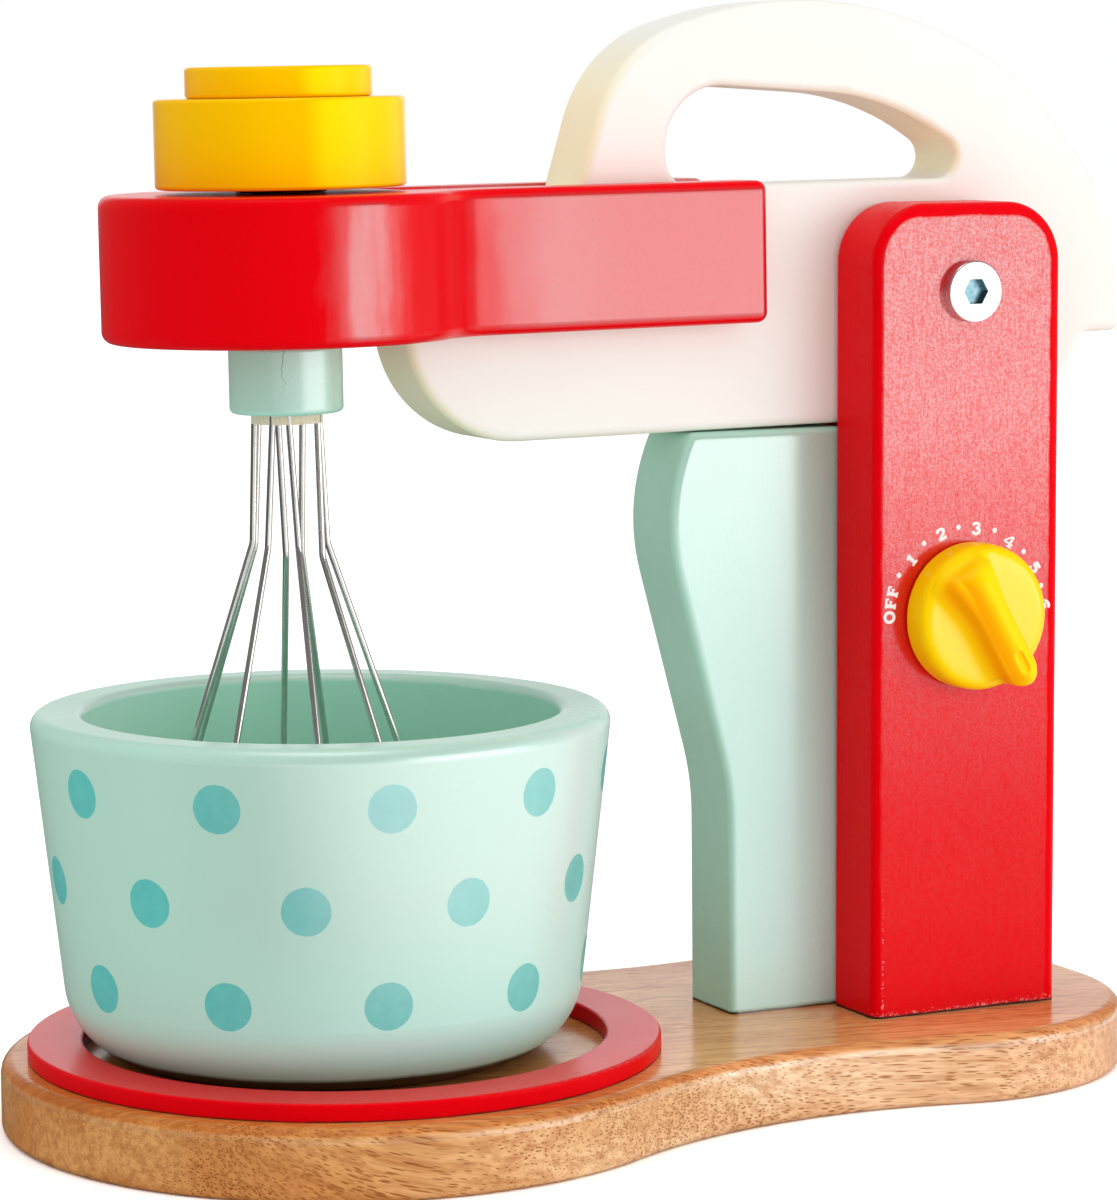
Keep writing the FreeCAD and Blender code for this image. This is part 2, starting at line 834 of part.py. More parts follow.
def make_pivot_bolt():
    seat = V(pivot.x, post_front_y, pivot.z)
    bolt = flat_bolt_head(seat, -BACK).fuse(rod(bolt_radius, bolt_length, seat, BACK))
    return bolt.cut(hex_socket(seat - BACK * bolt_head_height, BACK)).removeSplitter()


def make_pivot_nut():
    """A sleeve nut: its barrel is the axle, and the bolt screws into its bore."""
    seat = V(pivot.x, post_back_y, pivot.z)
    nut = flat_bolt_head(seat, BACK).fuse(rod(sleeve_radius, sleeve_length, seat, -BACK))
    bore_start = seat - BACK * sleeve_length
    nut = nut.cut(rod(bolt_radius + running_clearance, sleeve_bore_depth, bore_start, BACK))
    return nut.cut(hex_socket(seat + BACK * bolt_head_height, -BACK)).removeSplitter()


def make_pivot_washers():
    inner = sleeve_radius + running_clearance
    starts = (-column_thickness / 2, arm_thickness / 2)
    return Part.makeCompound([
        thin_ring(pivot_washer_radius, inner, pivot_washer_thickness, V(pivot.x, y, pivot.z), BACK)
        for y in starts
    ])


# Dial, built at the origin: it faces -Y, its grip lies along X and its nose points to +X
def side_on(x):
    """Places an outline across the grip, from its distance to the side and its height."""
    return lambda u, v: V(x, -v, u)


def grip_section():
    """Across the grip: one flank falls steeply, the other sweeps out in a hollow."""
    foot = dial_thickness - grip_sink
    return rounded_outline([
        (-grip_hollow_width, 0, 0),
        (-grip_hollow_width, foot, 0),
        (-grip_hollow_foot, foot, grip_hollow_radius),
        (-grip_half_width, grip_height, grip_crest_edge),
        (grip_half_width, grip_height, grip_crest_edge),
        (grip_half_width, 0, 0),
    ], side_on(-grip_tail_reach))


def grip_elevation():
    """Along the grip: its crest drops in a round at the tail."""
    outline = rounded_outline([
        (-grip_tail_reach, 0, 0),
        (grip_nose_reach, 0, 0),
        (grip_nose_reach, grip_height, 0),
        (-grip_tail_reach + grip_tail_slope, grip_height, grip_tail_round),
        (-grip_tail_reach, dial_thickness - dial_shoulder, 0),
    ], lambda u, v: V(u, -v, -dial_radius))
    return Part.Face(outline).extrude(V(0, 0, 2 * dial_radius))


def make_grip():
    """The ridge with its hollow flank, which fades out inside the disc, and its round nose."""
    nose_x = grip_nose_reach - grip_half_width
    length = V(grip_tail_reach + nose_x, 0, 0)
    ridge = Part.Face(grip_section()).extrude(length).common(grip_elevation())
    half_room = Part.makeBox(
        2 * dial_radius, grip_height, dial_radius, V(-dial_radius, -grip_height, -grip_half_width)
    )
    inside = Part.makeCone(dial_radius, dial_radius - grip_sweep_lean, grip_height, V(0, 0, 0), -BACK)
    nose = rod(grip_half_width, grip_height, V(nose_x, 0, 0), -BACK)
    nose = round_edges(nose, grip_crest_edge, lambda e: e.BoundBox.YMax < -grip_height + same)
    return ridge.common(half_room.fuse(inside)), nose


def pointer_slot():
    """A shallow inset mark on the crest, beside the nose."""
    end = grip_nose_reach - pointer_slot_end
    half = pointer_slot_width / 2
    slot = rounded_outline([
        (end - pointer_slot_length, -half, pointer_slot_corner),
        (end, -half, pointer_slot_corner),
        (end, half, pointer_slot_corner),
        (end - pointer_slot_length, half, pointer_slot_corner),
    ], upright(-grip_height))
    return Part.Face(slot).extrude(BACK * pointer_slot_depth)


def make_dial_knob():
    """The disc with its grip and its stem, turned to its pointer angle and put in place."""
    disc = Part.makeCone(dial_radius, dial_radius - dial_draft, dial_thickness, V(0, 0, 0), -BACK)
    disc = round_edges(disc, dial_shoulder, lambda e: e.BoundBox.YMax < -dial_thickness + same)
    stem_length = dial_gap + cheek_thickness - dial_pocket_depth + spring_washer_thickness
    ridge, nose = make_grip()
    stem = rod(stem_radius, stem_length, V(0, 0, 0), BACK)
    knob = disc.fuse([ridge, nose, stem]).removeSplitter().cut(pointer_slot())
    end = BACK * stem_length
    knob = knob.cut(rod(dial_screw_radius + glue_clearance, dial_screw_hole_depth, end, -BACK))
    knob.rotate(V(0, 0, 0), BACK, -dial_pointer_angle)
    knob.translate(V(cheek_centre_x, dial_face_y, deck + dial_height))
    return knob


def dial_pocket_floor():
    return V(cheek_centre_x, post_front_y + cheek_thickness - dial_pocket_depth, deck + dial_height)


def make_dial_spring_washer():
    start = dial_pocket_floor()
    return thin_ring(
        spring_washer_radius, stem_radius + running_clearance, spring_washer_thickness, start, BACK
    )


def make_dial_washer():
    start = dial_pocket_floor() + BACK * spring_washer_thickness
    return thin_ring(
        dial_washer_radius, dial_screw_radius + glue_clearance, dial_washer_thickness, start, BACK
    )


def make_dial_screw():
    """A pan-head screw that holds the dial's stem from inside the post."""
    under_head = dial_pocket_floor() + BACK * (spring_washer_thickness + dial_washer_thickness)
    head = rod(dial_screw_head_radius, dial_screw_head_height, under_head, BACK)
    top_y = under_head.y + dial_screw_head_height
    head = round_edges(head, dial_screw_head_edge, lambda e: e.BoundBox.YMin > top_y - same)
    return head.fuse(rod(dial_screw_radius, dial_screw_length, under_head, -BACK)).removeSplitter()


PIECES = {
    "base_board": make_base_board,
    "base_screws": make_base_screws,
    "bowl_ring": make_bowl_ring,
    "bowl": make_bowl,
    "front_cheek": make_front_cheek,
    "back_cheek": make_back_cheek,
    "support_column": make_support_column,
    "post_dowels": make_post_dowels,
    "mixer_arm": make_mixer_arm,
    "head_block": make_head_block,
    "head_dowels": make_head_dowels,
    "knob_base": make_knob_base,
    "knob_cap": make_knob_cap,
    "knob_screw": make_knob_screw,
    "spindle": make_spindle,
    "knob_washer": make_knob_washer,
    "hub_washer": make_hub_washer,
    "whisk_hub": make_whisk_hub,
    "whisk_plug": make_whisk_plug,
    "whisk_loop_1": lambda: make_whisk_loop(0),
    "whisk_loop_2": lambda: make_whisk_loop(1),
    "whisk_loop_3": lambda: make_whisk_loop(2),
    "whisk_loop_4": lambda: make_whisk_loop(3),
    "pivot_bolt": make_pivot_bolt,
    "pivot_nut": make_pivot_nut,
    "pivot_washers": make_pivot_washers,
    "dial_knob": make_dial_knob,
    "dial_spring_washer": make_dial_spring_washer,
    "dial_washer": make_dial_washer,
    "dial_screw": make_dial_screw,
}

os.makedirs("parts", exist_ok=True)
for name, make in PIECES.items():
    shape = make()
    if not shape.isValid():
        print("not valid:", name)
    shape.exportStep(os.path.join("parts", name + ".step"))
    print(name, "solids", len(shape.Solids), "volume", round(shape.Volume, 1))
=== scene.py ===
import bmesh
import bpy
import json
import math
from collections import namedtuple
from mathutils import Matrix, Vector


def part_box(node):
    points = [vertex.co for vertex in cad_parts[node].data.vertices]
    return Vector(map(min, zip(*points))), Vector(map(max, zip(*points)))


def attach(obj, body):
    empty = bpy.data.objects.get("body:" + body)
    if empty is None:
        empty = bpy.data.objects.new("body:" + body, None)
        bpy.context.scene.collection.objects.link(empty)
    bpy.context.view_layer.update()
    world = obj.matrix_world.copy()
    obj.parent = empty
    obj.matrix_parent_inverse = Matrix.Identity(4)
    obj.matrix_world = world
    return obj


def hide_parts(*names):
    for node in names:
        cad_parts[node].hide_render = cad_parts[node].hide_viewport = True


# A wooden toy stand mixer: the finishes of its pieces, its moulded dial with the printed scale
# round it, and a white studio. Lengths are metres. X runs from the bowl to the post, Y to the
# back and Z up, so a front faces -Y.

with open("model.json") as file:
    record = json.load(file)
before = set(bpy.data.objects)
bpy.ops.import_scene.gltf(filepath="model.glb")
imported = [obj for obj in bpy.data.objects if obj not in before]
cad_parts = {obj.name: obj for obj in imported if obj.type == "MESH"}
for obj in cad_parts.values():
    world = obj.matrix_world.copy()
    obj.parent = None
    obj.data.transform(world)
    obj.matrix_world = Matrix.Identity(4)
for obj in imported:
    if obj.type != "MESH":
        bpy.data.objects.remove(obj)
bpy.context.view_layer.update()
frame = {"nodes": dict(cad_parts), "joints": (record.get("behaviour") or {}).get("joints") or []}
NODES = frame["nodes"]


def joint_place(name):
    """A point on a joint's axis."""
    return Vector(next(joint["pos_m"] for joint in frame["joints"] if joint["name"] == name))


def middle(piece):
    low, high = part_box(piece)
    return (low + high) / 2


# Places that come from the pieces and their joints
PIVOT = joint_place("arm_tilt")
DIAL = joint_place("dial_turn")
BOWL = middle("bowl")
BOARD_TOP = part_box("base_board")[1].z
RING_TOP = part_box("bowl_ring")[1].z
CHEEK_LOW, CHEEK_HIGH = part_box("front_cheek")
COLUMN_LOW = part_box("support_column")[0]


# Node helpers
def add(tree, kind, **settings):
    """A new shader node; settings are its own properties."""
    made = tree.nodes.new(kind)
    for name, value in settings.items():
        setattr(made, name, value)
    return made


def feed(tree, target, value):
    """Links an output to an input socket, or writes a plain number or colour into it."""
    if isinstance(value, bpy.types.NodeSocket):
        tree.links.new(value, target)
    else:
        target.default_value = value


def feeding(socket):
    """The output that is linked to an input socket."""
    return socket.links[0].from_socket


def coordinate(tree, kind):
    return add(tree, "ShaderNodeTexCoord").outputs[kind]


def maths(tree, operation, first, second=0.0, third=0.0, clamp=False):
    made = add(tree, "ShaderNodeMath", operation=operation, use_clamp=clamp)
    for socket, value in zip(made.inputs, (first, second, third)):
        feed(tree, socket, value)
    return made.outputs[0]


def times(tree, first, *others):
    """The product of all."""
    for other in others:
        first = maths(tree, "MULTIPLY", first, other)
    return first


def rest_of(tree, share):
    """What a share leaves of the whole."""
    return maths(tree, "SUBTRACT", 1.0, share)


def apart(tree, value, middle):
    """How far a value lies from a middle, on either side."""
    return maths(tree, "ABSOLUTE", maths(tree, "SUBTRACT", value, middle))


def slant(tree, first, second):
    """The straight way that goes so far one way and so far square to it."""
    return maths(tree, "SQRT", maths(tree, "ADD", times(tree, first, first), times(tree, second, second)))


def off_axis(tree, first, second, first_middle, second_middle):
    """How far a place lies from an axis, from its two coordinates square to that axis."""
    return slant(
        tree, maths(tree, "SUBTRACT", first, first_middle), maths(tree, "SUBTRACT", second, second_middle),
    )


def split(tree, vector):
    """The X, Y and Z of a vector."""
    parts = add(tree, "ShaderNodeSeparateXYZ")
    tree.links.new(vector, parts.inputs[0])
    return parts.outputs["X"], parts.outputs["Y"], parts.outputs["Z"]


def scaled(tree, vector, factors):
    made = add(tree, "ShaderNodeVectorMath", operation="MULTIPLY")
    feed(tree, made.inputs[0], vector)
    made.inputs[1].default_value = factors
    return made.outputs[0]


def dot(tree, first, second):
    """The dot product of two vectors."""
    made = add(tree, "ShaderNodeVectorMath", operation="DOT_PRODUCT")
    feed(tree, made.inputs[0], first)
    feed(tree, made.inputs[1], second)
    return made.outputs["Value"]


def noise(tree, vector, scale=1.0, detail=3.0, roughness=0.5):
    made = add(tree, "ShaderNodeTexNoise")
    feed(tree, made.inputs["Vector"], vector)
    feed(tree, made.inputs["Scale"], scale)
    made.inputs["Detail"].default_value = detail
    made.inputs["Roughness"].default_value = roughness
    return made.outputs["Fac"]


def stretched(tree, vector, factors, detail=3.0, roughness=0.5):
    """Noise with its own number of grains to the metre along X, Y and Z."""
    return noise(tree, scaled(tree, vector, factors), detail=detail, roughness=roughness)


def remap(tree, value, low, high, new_low=0.0, new_high=1.0):
    made = add(tree, "ShaderNodeMapRange")
    made.clamp = True
    feed(tree, made.inputs["Value"], value)
    feed(tree, made.inputs["From Min"], low)
    feed(tree, made.inputs["From Max"], high)
    feed(tree, made.inputs["To Min"], new_low)
    feed(tree, made.inputs["To Max"], new_high)
    return made.outputs["Result"]


def mixed(tree, factor, first, second, blend="MIX"):
    """Mixes two colours."""
    made = add(tree, "ShaderNodeMix", data_type="RGBA", blend_type=blend)
    feed(tree, made.inputs["Factor"], factor)
    feed(tree, made.inputs["A"], first)
    feed(tree, made.inputs["B"], second)
    return made.outputs["Result"]


def graded(tree, value, stops):
    """A strength that follows a value over a few stops, each a place in the value's unit and a strength."""
    made = add(tree, "ShaderNodeValToRGB")
    ramp = made.color_ramp
    ramp.interpolation = "EASE"
    low, high = stops[0][0], stops[-1][0]
    while len(ramp.elements) < len(stops):
        ramp.elements.new(0.5)
    for element, (at, strength) in zip(ramp.elements, stops):
        element.position = (at - low) / (high - low)
        element.color = (strength, strength, strength, 1)
    feed(tree, made.inputs["Fac"], remap(tree, value, low, high))
    return made.outputs["Color"]


def new_group(name, inputs, outputs):
    """A shader node group with its sockets; returns the tree, its input node and its output node."""
    tree = bpy.data.node_groups.new(name, "ShaderNodeTree")
    for label, kind in inputs:
        tree.interface.new_socket(name=label, in_out="INPUT", socket_type=kind)
    for label, kind in outputs:
        tree.interface.new_socket(name=label, in_out="OUTPUT", socket_type=kind)
    return tree, add(tree, "NodeGroupInput"), add(tree, "NodeGroupOutput")


def closed_group(tree, made, **results):
    """Links a group's results to its output node and returns the group."""
    for label, value in results.items():
        feed(tree, made.inputs[label], value)
    return tree


def use_group(tree, group, **values):
    made = add(tree, "ShaderNodeGroup", node_tree=group)
    for label, value in values.items():
        feed(tree, made.inputs[label.replace("_", " ")], value)
    return made


# Shader groups
NUMBER = "NodeSocketFloat"
COLOUR = "NodeSocketColor"
PLACE = "NodeSocketVector"
WHITE = (1, 1, 1, 1)


def make_lacquer_group():
    """Lacquer over sanded wood: fine fibre lines, specks and orange peel, with a cloudy depth."""
    tree, given, made = new_group("lacquer over wood", [
        ("Place", PLACE), ("Fibre Place", PLACE), ("Paint", COLOUR), ("Deep", COLOUR),
        ("Peel Size", NUMBER), ("Fibre", NUMBER), ("Gloss Low", NUMBER), ("Gloss High", NUMBER),
    ], [("Colour", COLOUR), ("Roughness", NUMBER), ("Height", NUMBER), ("Grit", NUMBER)])
    place = given.outputs["Place"]
    amount = given.outputs["Fibre"]
    peel = noise(tree, place, given.outputs["Peel Size"], detail=2.0, roughness=0.6)
    fibre = noise(tree, given.outputs["Fibre Place"], roughness=0.6)
    specks = remap(tree, noise(tree, place, scale=780.0, detail=1.0), 0.68, 0.76)
    cloud = remap(tree, noise(tree, place, scale=30.0, detail=4.0, roughness=0.55), 0.3, 0.7)
    pits = remap(tree, fibre, 0.5, 0.72)
    depth = maths(tree, "MULTIPLY_ADD", pits, amount, times(tree, cloud, 0.5))
    depth = maths(tree, "MULTIPLY_ADD", specks, amount, depth, clamp=True)
    height = maths(tree, "MULTIPLY_ADD", rest_of(tree, fibre), amount, peel)
    peel_grit = remap(tree, peel, 0.4, 0.6, 0.0, 0.62)
    fibre_grit = remap(tree, fibre, 0.35, 0.62, 0.0, 0.38)
    gloss = remap(tree, cloud, 0.0, 1.0, given.outputs["Gloss Low"], given.outputs["Gloss High"])
    return closed_group(
        tree, made,
        Colour=mixed(tree, depth, given.outputs["Paint"], given.outputs["Deep"]),
        Roughness=maths(tree, "MULTIPLY_ADD", pits, times(tree, amount, 0.1), gloss),
        Height=maths(tree, "SUBTRACT", height, times(tree, specks, amount)),
        Grit=maths(tree, "ADD", peel_grit, fibre_grit),
    )


def make_fleck_group():
    """Small flecks where the paint is rubbed: on one upright line of a face, and along its foot."""
    tree, given, made = new_group("rubbed flecks", [
        ("Place", PLACE), ("Line X", NUMBER), ("Face Y", NUMBER), ("Foot", NUMBER), ("Rise", NUMBER),
        ("Amount", NUMBER),
    ], [("Flecks", NUMBER)])
    line_half_width = 0.0013
    foot_band = 0.0036
    face_depth = 0.0024
    raggedness = 0.0012
    place = given.outputs["Place"]
    x, y, z = split(tree, place)
    height = maths(tree, "SUBTRACT", z, given.outputs["Foot"])
    ragged = times(tree, noise(tree, place, scale=350.0, detail=2.0), raggedness)
    away = maths(tree, "ADD", apart(tree, x, given.outputs["Line X"]), ragged)
    density = remap(tree, height, given.outputs["Rise"], 0.0, 0.35, 1.0)
    line = times(tree, remap(tree, away, line_half_width, 0.0006), density)
    low = remap(tree, maths(tree, "ADD", height, ragged), foot_band, 0.0014, 0.0, 0.8)
    face = remap(tree, apart(tree, y, given.outputs["Face Y"]), face_depth, 0.0016)
    where = times(tree, maths(tree, "MAXIMUM", line, low), face)
    spots = noise(tree, place, scale=1900.0, roughness=0.7)
    crowd = times(tree, given.outputs["Amount"], where, 0.31)
    limit = maths(tree, "SUBTRACT", 0.80, crowd)
    flecks = remap(tree, spots, limit, maths(tree, "ADD", limit, 0.03))
    return closed_group(tree, made, Flecks=times(tree, flecks, remap(tree, where, 0.02, 0.2)))


def make_flat_group():
    """The flat of an upright board's face, up to a wandering line inside its rounded edges."""
    tree, given, made = new_group("flatted face", [
        ("Place", PLACE), ("Centre X", NUMBER), ("Half Width", NUMBER), ("Top", NUMBER),
        ("Corner", NUMBER), ("Inset", NUMBER),
    ], [("Flat", NUMBER)])
    wander_depth = 0.0012
    place = given.outputs["Place"]
    corner = given.outputs["Corner"]
    x, _, z = split(tree, place)

    def past_corner(way, edge):
        """How far a place lies beyond the middle of the corner's round, towards the edge."""
        return maths(tree, "ADD", maths(tree, "SUBTRACT", way, edge), corner)

    past_x = past_corner(apart(tree, x, given.outputs["Centre X"]), given.outputs["Half Width"])
    past_z = past_corner(z, given.outputs["Top"])
    out_x = maths(tree, "MAXIMUM", past_x, 0.0)
    out_z = maths(tree, "MAXIMUM", past_z, 0.0)
    inside = maths(tree, "MINIMUM", maths(tree, "MAXIMUM", past_x, past_z), 0.0)
    distance = maths(tree, "SUBTRACT", maths(tree, "ADD", slant(tree, out_x, out_z), inside), corner)
    inset = maths(tree, "ADD", distance, given.outputs["Inset"])
    wander = noise(tree, place, scale=160.0, roughness=0.6)
    edge = maths(tree, "MULTIPLY_ADD", wander, wander_depth, inset)
    return closed_group(tree, made, Flat=remap(tree, edge, 0.0009, 0.0003))


def make_board_group():
    """Varnished hardwood, its grain along X: growth bands, fine streaks and open dark pores."""
    tree, given, made = new_group("open grained hardwood", [
        ("Place", PLACE), ("Light", COLOUR), ("Middle", COLOUR), ("Dark", COLOUR), ("Pore", COLOUR),
    ], [("Colour", COLOUR), ("Roughness", NUMBER), ("Height", NUMBER)])
    place = given.outputs["Place"]
    x, y, z = split(tree, place)
    # The grain leans across the board, wanders, and dips towards the board's left end
    bend = stretched(tree, place, (7.0, 14.0, 14.0), detail=2.0)
    lean = maths(tree, "MULTIPLY_ADD", x, 0.18, y)
    left = maths(tree, "MAXIMUM", maths(tree, "SUBTRACT", 0.005, x), 0.0)
    left = maths(tree, "MINIMUM", left, 0.06)
    sink = maths(tree, "MULTIPLY_ADD", x, 0.05, times(tree, left, left, -4.4))
    leaned = add(tree, "ShaderNodeCombineXYZ")
    feed(tree, leaned.inputs["X"], x)
    feed(tree, leaned.inputs["Y"], maths(tree, "MULTIPLY_ADD", bend, 0.02, lean))
    feed(tree, leaned.inputs["Z"], maths(tree, "ADD", z, sink))
    grain = leaned.outputs[0]
    rings = dot(tree, grain, (3.0, 90.0, 120.0))
    ripple = maths(tree, "MULTIPLY_ADD", stretched(tree, grain, (10.0, 40.0, 40.0)), 7.0, rings)
    bands = maths(tree, "MULTIPLY_ADD", maths(tree, "SINE", ripple), 0.5, 0.5)
    streaks = stretched(tree, grain, (22.0, 700.0, 560.0), roughness=0.6)
    fleck = stretched(tree, grain, (130.0, 1800.0, 1800.0), detail=2.0, roughness=0.6)
    tone = mixed(tree, bands, given.outputs["Light"], given.outputs["Middle"])
    tone = mixed(tree, remap(tree, streaks, 0.4, 0.68, 0.0, 0.8), tone, given.outputs["Dark"])
    tone = mixed(tree, remap(tree, fleck, 0.5, 0.7, 0.0, 0.45), tone, given.outputs["Dark"])
    cells = add(tree, "ShaderNodeTexVoronoi", voronoi_dimensions="3D", feature="F1")
    feed(tree, cells.inputs["Vector"], scaled(tree, grain, (120.0, 1750.0, 1750.0)))
    cells.inputs["Scale"].default_value = 1.0
    cells.inputs["Randomness"].default_value = 1.0
    crowd = stretched(tree, grain, (14.0, 90.0, 90.0), detail=2.0)
    reach = maths(tree, "MULTIPLY_ADD", bands, 0.12, remap(tree, crowd, 0.3, 0.65, 0.2, 0.4))
    pores = remap(tree, cells.outputs["Distance"], reach, times(tree, reach, 0.62))
    patches = remap(tree, stretched(tree, grain, (30.0, 60.0, 60.0), detail=2.0), 0.35, 0.6, 0.6, 0.95)
    shown_pores = times(tree, pores, patches, remap(tree, x, -0.07, -0.058, 0.35, 1.0))
    gloss = remap(tree, streaks, 0.3, 0.7, 0.16, 0.24)
    return closed_group(
        tree, made,
        Colour=mixed(tree, shown_pores, tone, given.outputs["Pore"]),
        Roughness=maths(tree, "MULTIPLY_ADD", pores, 0.1, gloss),
        Height=maths(tree, "MULTIPLY_ADD", streaks, 0.3, times(tree, pores, -0.5)),
    )


def make_dot_group():
    """A row of printed dots round the bowl, seen from its axis."""
    tree, given, made = new_group("dots round a bowl", [
        ("Place", PLACE), ("Centre X", NUMBER), ("Centre Y", NUMBER), ("Row Height", NUMBER),
        ("First Angle", NUMBER), ("Pitch", NUMBER), ("Dots", NUMBER), ("Dot Radius", NUMBER),
    ], [("Dots", NUMBER)])
    raggedness = 0.0003
    soft_edge = 0.00008
    place = given.outputs["Place"]
    pitch = given.outputs["Pitch"]
    dot_radius = given.outputs["Dot Radius"]
    x, y, z = split(tree, place)
    x = maths(tree, "SUBTRACT", x, given.outputs["Centre X"])
    y = maths(tree, "SUBTRACT", y, given.outputs["Centre Y"])
    z = maths(tree, "SUBTRACT", z, given.outputs["Row Height"])
    turn = maths(tree, "SUBTRACT", maths(tree, "ARCTAN2", y, x), given.outputs["First Angle"])
    turn = maths(tree, "FLOORED_MODULO", turn, 2 * math.pi)
    nearest = maths(tree, "ROUND", maths(tree, "DIVIDE", turn, pitch))
    nearest = maths(tree, "MINIMUM", nearest, maths(tree, "SUBTRACT", given.outputs["Dots"], 1.0))
    to_nearest = apart(tree, turn, times(tree, nearest, pitch))
    to_first = apart(tree, turn, 2 * math.pi)
    across = times(tree, maths(tree, "MINIMUM", to_nearest, to_first), slant(tree, x, y))
    ragged = maths(tree, "SUBTRACT", noise(tree, place, scale=900.0, detail=2.0), 0.5)
    far = maths(tree, "MULTIPLY_ADD", ragged, raggedness, slant(tree, across, z))
    outer = maths(tree, "ADD", dot_radius, soft_edge)
    inner = maths(tree, "SUBTRACT", dot_radius, soft_edge)
    return closed_group(tree, made, Dots=remap(tree, far, outer, inner))


def make_facing_group():
    """A share that grows as the faces turn one way, from one slope to another."""
    tree, given, made = new_group("faces turned one way", [
        ("Towards", PLACE), ("Start", NUMBER), ("Full", NUMBER),
    ], [("Share", NUMBER)])
    slope = dot(tree, coordinate(tree, "Normal"), given.outputs["Towards"])
    return closed_group(
        tree, made, Share=remap(tree, slope, given.outputs["Start"], given.outputs["Full"]),
    )


LACQUER = make_lacquer_group()
FACING = make_facing_group()
FLECKS = make_fleck_group()
FLAT = make_flat_group()
HARDWOOD = make_board_group()
DOTS = make_dot_group()


def facing(tree, towards, start, full):
    return use_group(tree, FACING, Towards=towards, Start=start, Full=full).outputs["Share"]


# Materials
# A finish while it is made: its material, node tree and shader, the place on the piece, and the
# colour so far
Finish = namedtuple("Finish", "material tree shader place colour")
# Where lacquer is flatted to a haze: towards what side, from what slope to what slope, the clear
# coat's index and roughness, how gritty the haze is and how much of the paint's colour it leaves,
# a darkening painted as shade to offset the haze's highlight
Haze = namedtuple("Haze", "towards start full index roughness grit dulling")
# Rubbed flecks: the upright line and the face they are on, up to where they are dense, and how many
Wear = namedtuple("Wear", "line_x face_y rise amount")
# The flat of a cheek: its middle, half width, top, corner and the margin of its edges
Flat = namedtuple("Flat", "centre_x half_width top corner inset")

FORWARD = (0.0, -1.0, 0.0)
FRONT_RIGHT = (0.45, -0.89, 0.0)
UP = (0, 0, 1)
DOWN = (0, 0, -1)
# How many fibres there are to the metre along X, Y and Z
ALONG_X = (200.0, 3000.0, 3000.0)
ALONG_Z = (3300.0, 3300.0, 240.0)
NO_GRAIN = (1500.0, 1500.0, 1500.0)
CHEEK_FRONT = Haze(FORWARD, 0.8, 0.97, index=2.4, roughness=0.16, grit=0.65, dulling=0.64)
COLUMN_FRONT = Haze(FORWARD, 0.75, 0.97, index=2.4, roughness=0.2, grit=0.12, dulling=0.9)
HEAD_FRONT = Haze(FORWARD, 0.1, 0.3, index=2.1, roughness=0.22, grit=0.12, dulling=0.72)
BOWL_FRONT = Haze(FRONT_RIGHT, 0.1, 0.75, index=3.3, roughness=0.34, grit=0.05, dulling=1.0)
HUB_FRONT = Haze(FRONT_RIGHT, 0.2, 0.85, index=2.3, roughness=0.26, grit=0.2, dulling=1.0)
DIAL_FRONT = Haze(FORWARD, 0.9, 0.99, index=1.55, roughness=0.18, grit=0.0, dulling=1.0)
RING_FACE = Haze(UP, 0.5, 0.95, index=1.28, roughness=0.24, grit=0.5, dulling=1.0)
FRONT_WEAR = Wear(CHEEK_LOW.x + 0.0022, CHEEK_LOW.y, rise=0.055, amount=1.0)
BACK_WEAR = FRONT_WEAR._replace(face_y=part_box("back_cheek")[1].y)
COLUMN_WEAR = Wear(COLUMN_LOW.x + 0.0019, COLUMN_LOW.y, rise=0.03, amount=0.7)
CHEEK_FLAT = Flat(
    middle("front_cheek").x - 0.0008, half_width=0.0257, top=CHEEK_HIGH.z, corner=0.014, inset=0.0031,
)
# How strong the haze is up a cheek, and along the head from its round end to its neck
CHEEK_HAZE = ((0.02, 0.08), (0.055, 0.17), (0.09, 0.32), (0.13, 0.62), (0.16, 0.87), (0.2, 0.96))
HEAD_HAZE = (
    (-0.022, 0.0), (-0.0165, 0.35), (-0.0114, 1.0), (-0.0085, 0.9), (-0.003, 0.32), (0.001, 0.1),
    (0.0186, 0.1), (0.0250, 0.36), (0.034, 0.75), (0.045, 1.0), (0.065, 0.9),
)


def new_finish(name):
    material = bpy.data.materials.new(name)
    material.use_nodes = True
    tree = material.node_tree
    return Finish(material, tree, tree.nodes["Principled BSDF"], coordinate(tree, "Object"), None)


def bump(tree, shader, height, strength, distance):
    made = add(tree, "ShaderNodeBump")
    made.inputs["Strength"].default_value = strength
    made.inputs["Distance"].default_value = distance
    tree.links.new(height, made.inputs["Height"])
    tree.links.new(made.outputs["Normal"], shader.inputs["Normal"])


def haze_cover(tree, place, grit, haze, flat, along):
    """How much haze lies on each spot: of one side, of a cheek's flat and along the head."""
    side = facing(tree, haze.towards, haze.start, haze.full)
    grit = maths(tree, "MULTIPLY_ADD", grit, haze.grit, 1.0 - haze.grit)
    x, _, z = split(tree, place)
    if along:
        waves = stretched(tree, place, (70.0, 70.0, 40.0), roughness=0.6)
        lines = stretched(tree, place, (420.0, 420.0, 30.0), detail=2.0)
        wavy = maths(tree, "MULTIPLY_ADD", maths(tree, "SUBTRACT", waves, 0.5), 0.012, x)
        wavy = maths(tree, "MULTIPLY_ADD", maths(tree, "SUBTRACT", lines, 0.5), 0.006, wavy)
        side = times(tree, side, graded(tree, wavy, along))
        for edge in (UP, DOWN):
            side = times(tree, side, rest_of(tree, facing(tree, edge, 0.2, 0.6)))
    cover = maths(tree, "MULTIPLY", side, grit, clamp=True)
    if flat:
        face = use_group(
            tree, FLAT, Place=place, Centre_X=flat.centre_x, Half_Width=flat.half_width, Top=flat.top,
            Corner=flat.corner, Inset=flat.inset,
        )
        cover = times(tree, cover, face.outputs["Flat"], graded(tree, z, CHEEK_HAZE))
    return cover


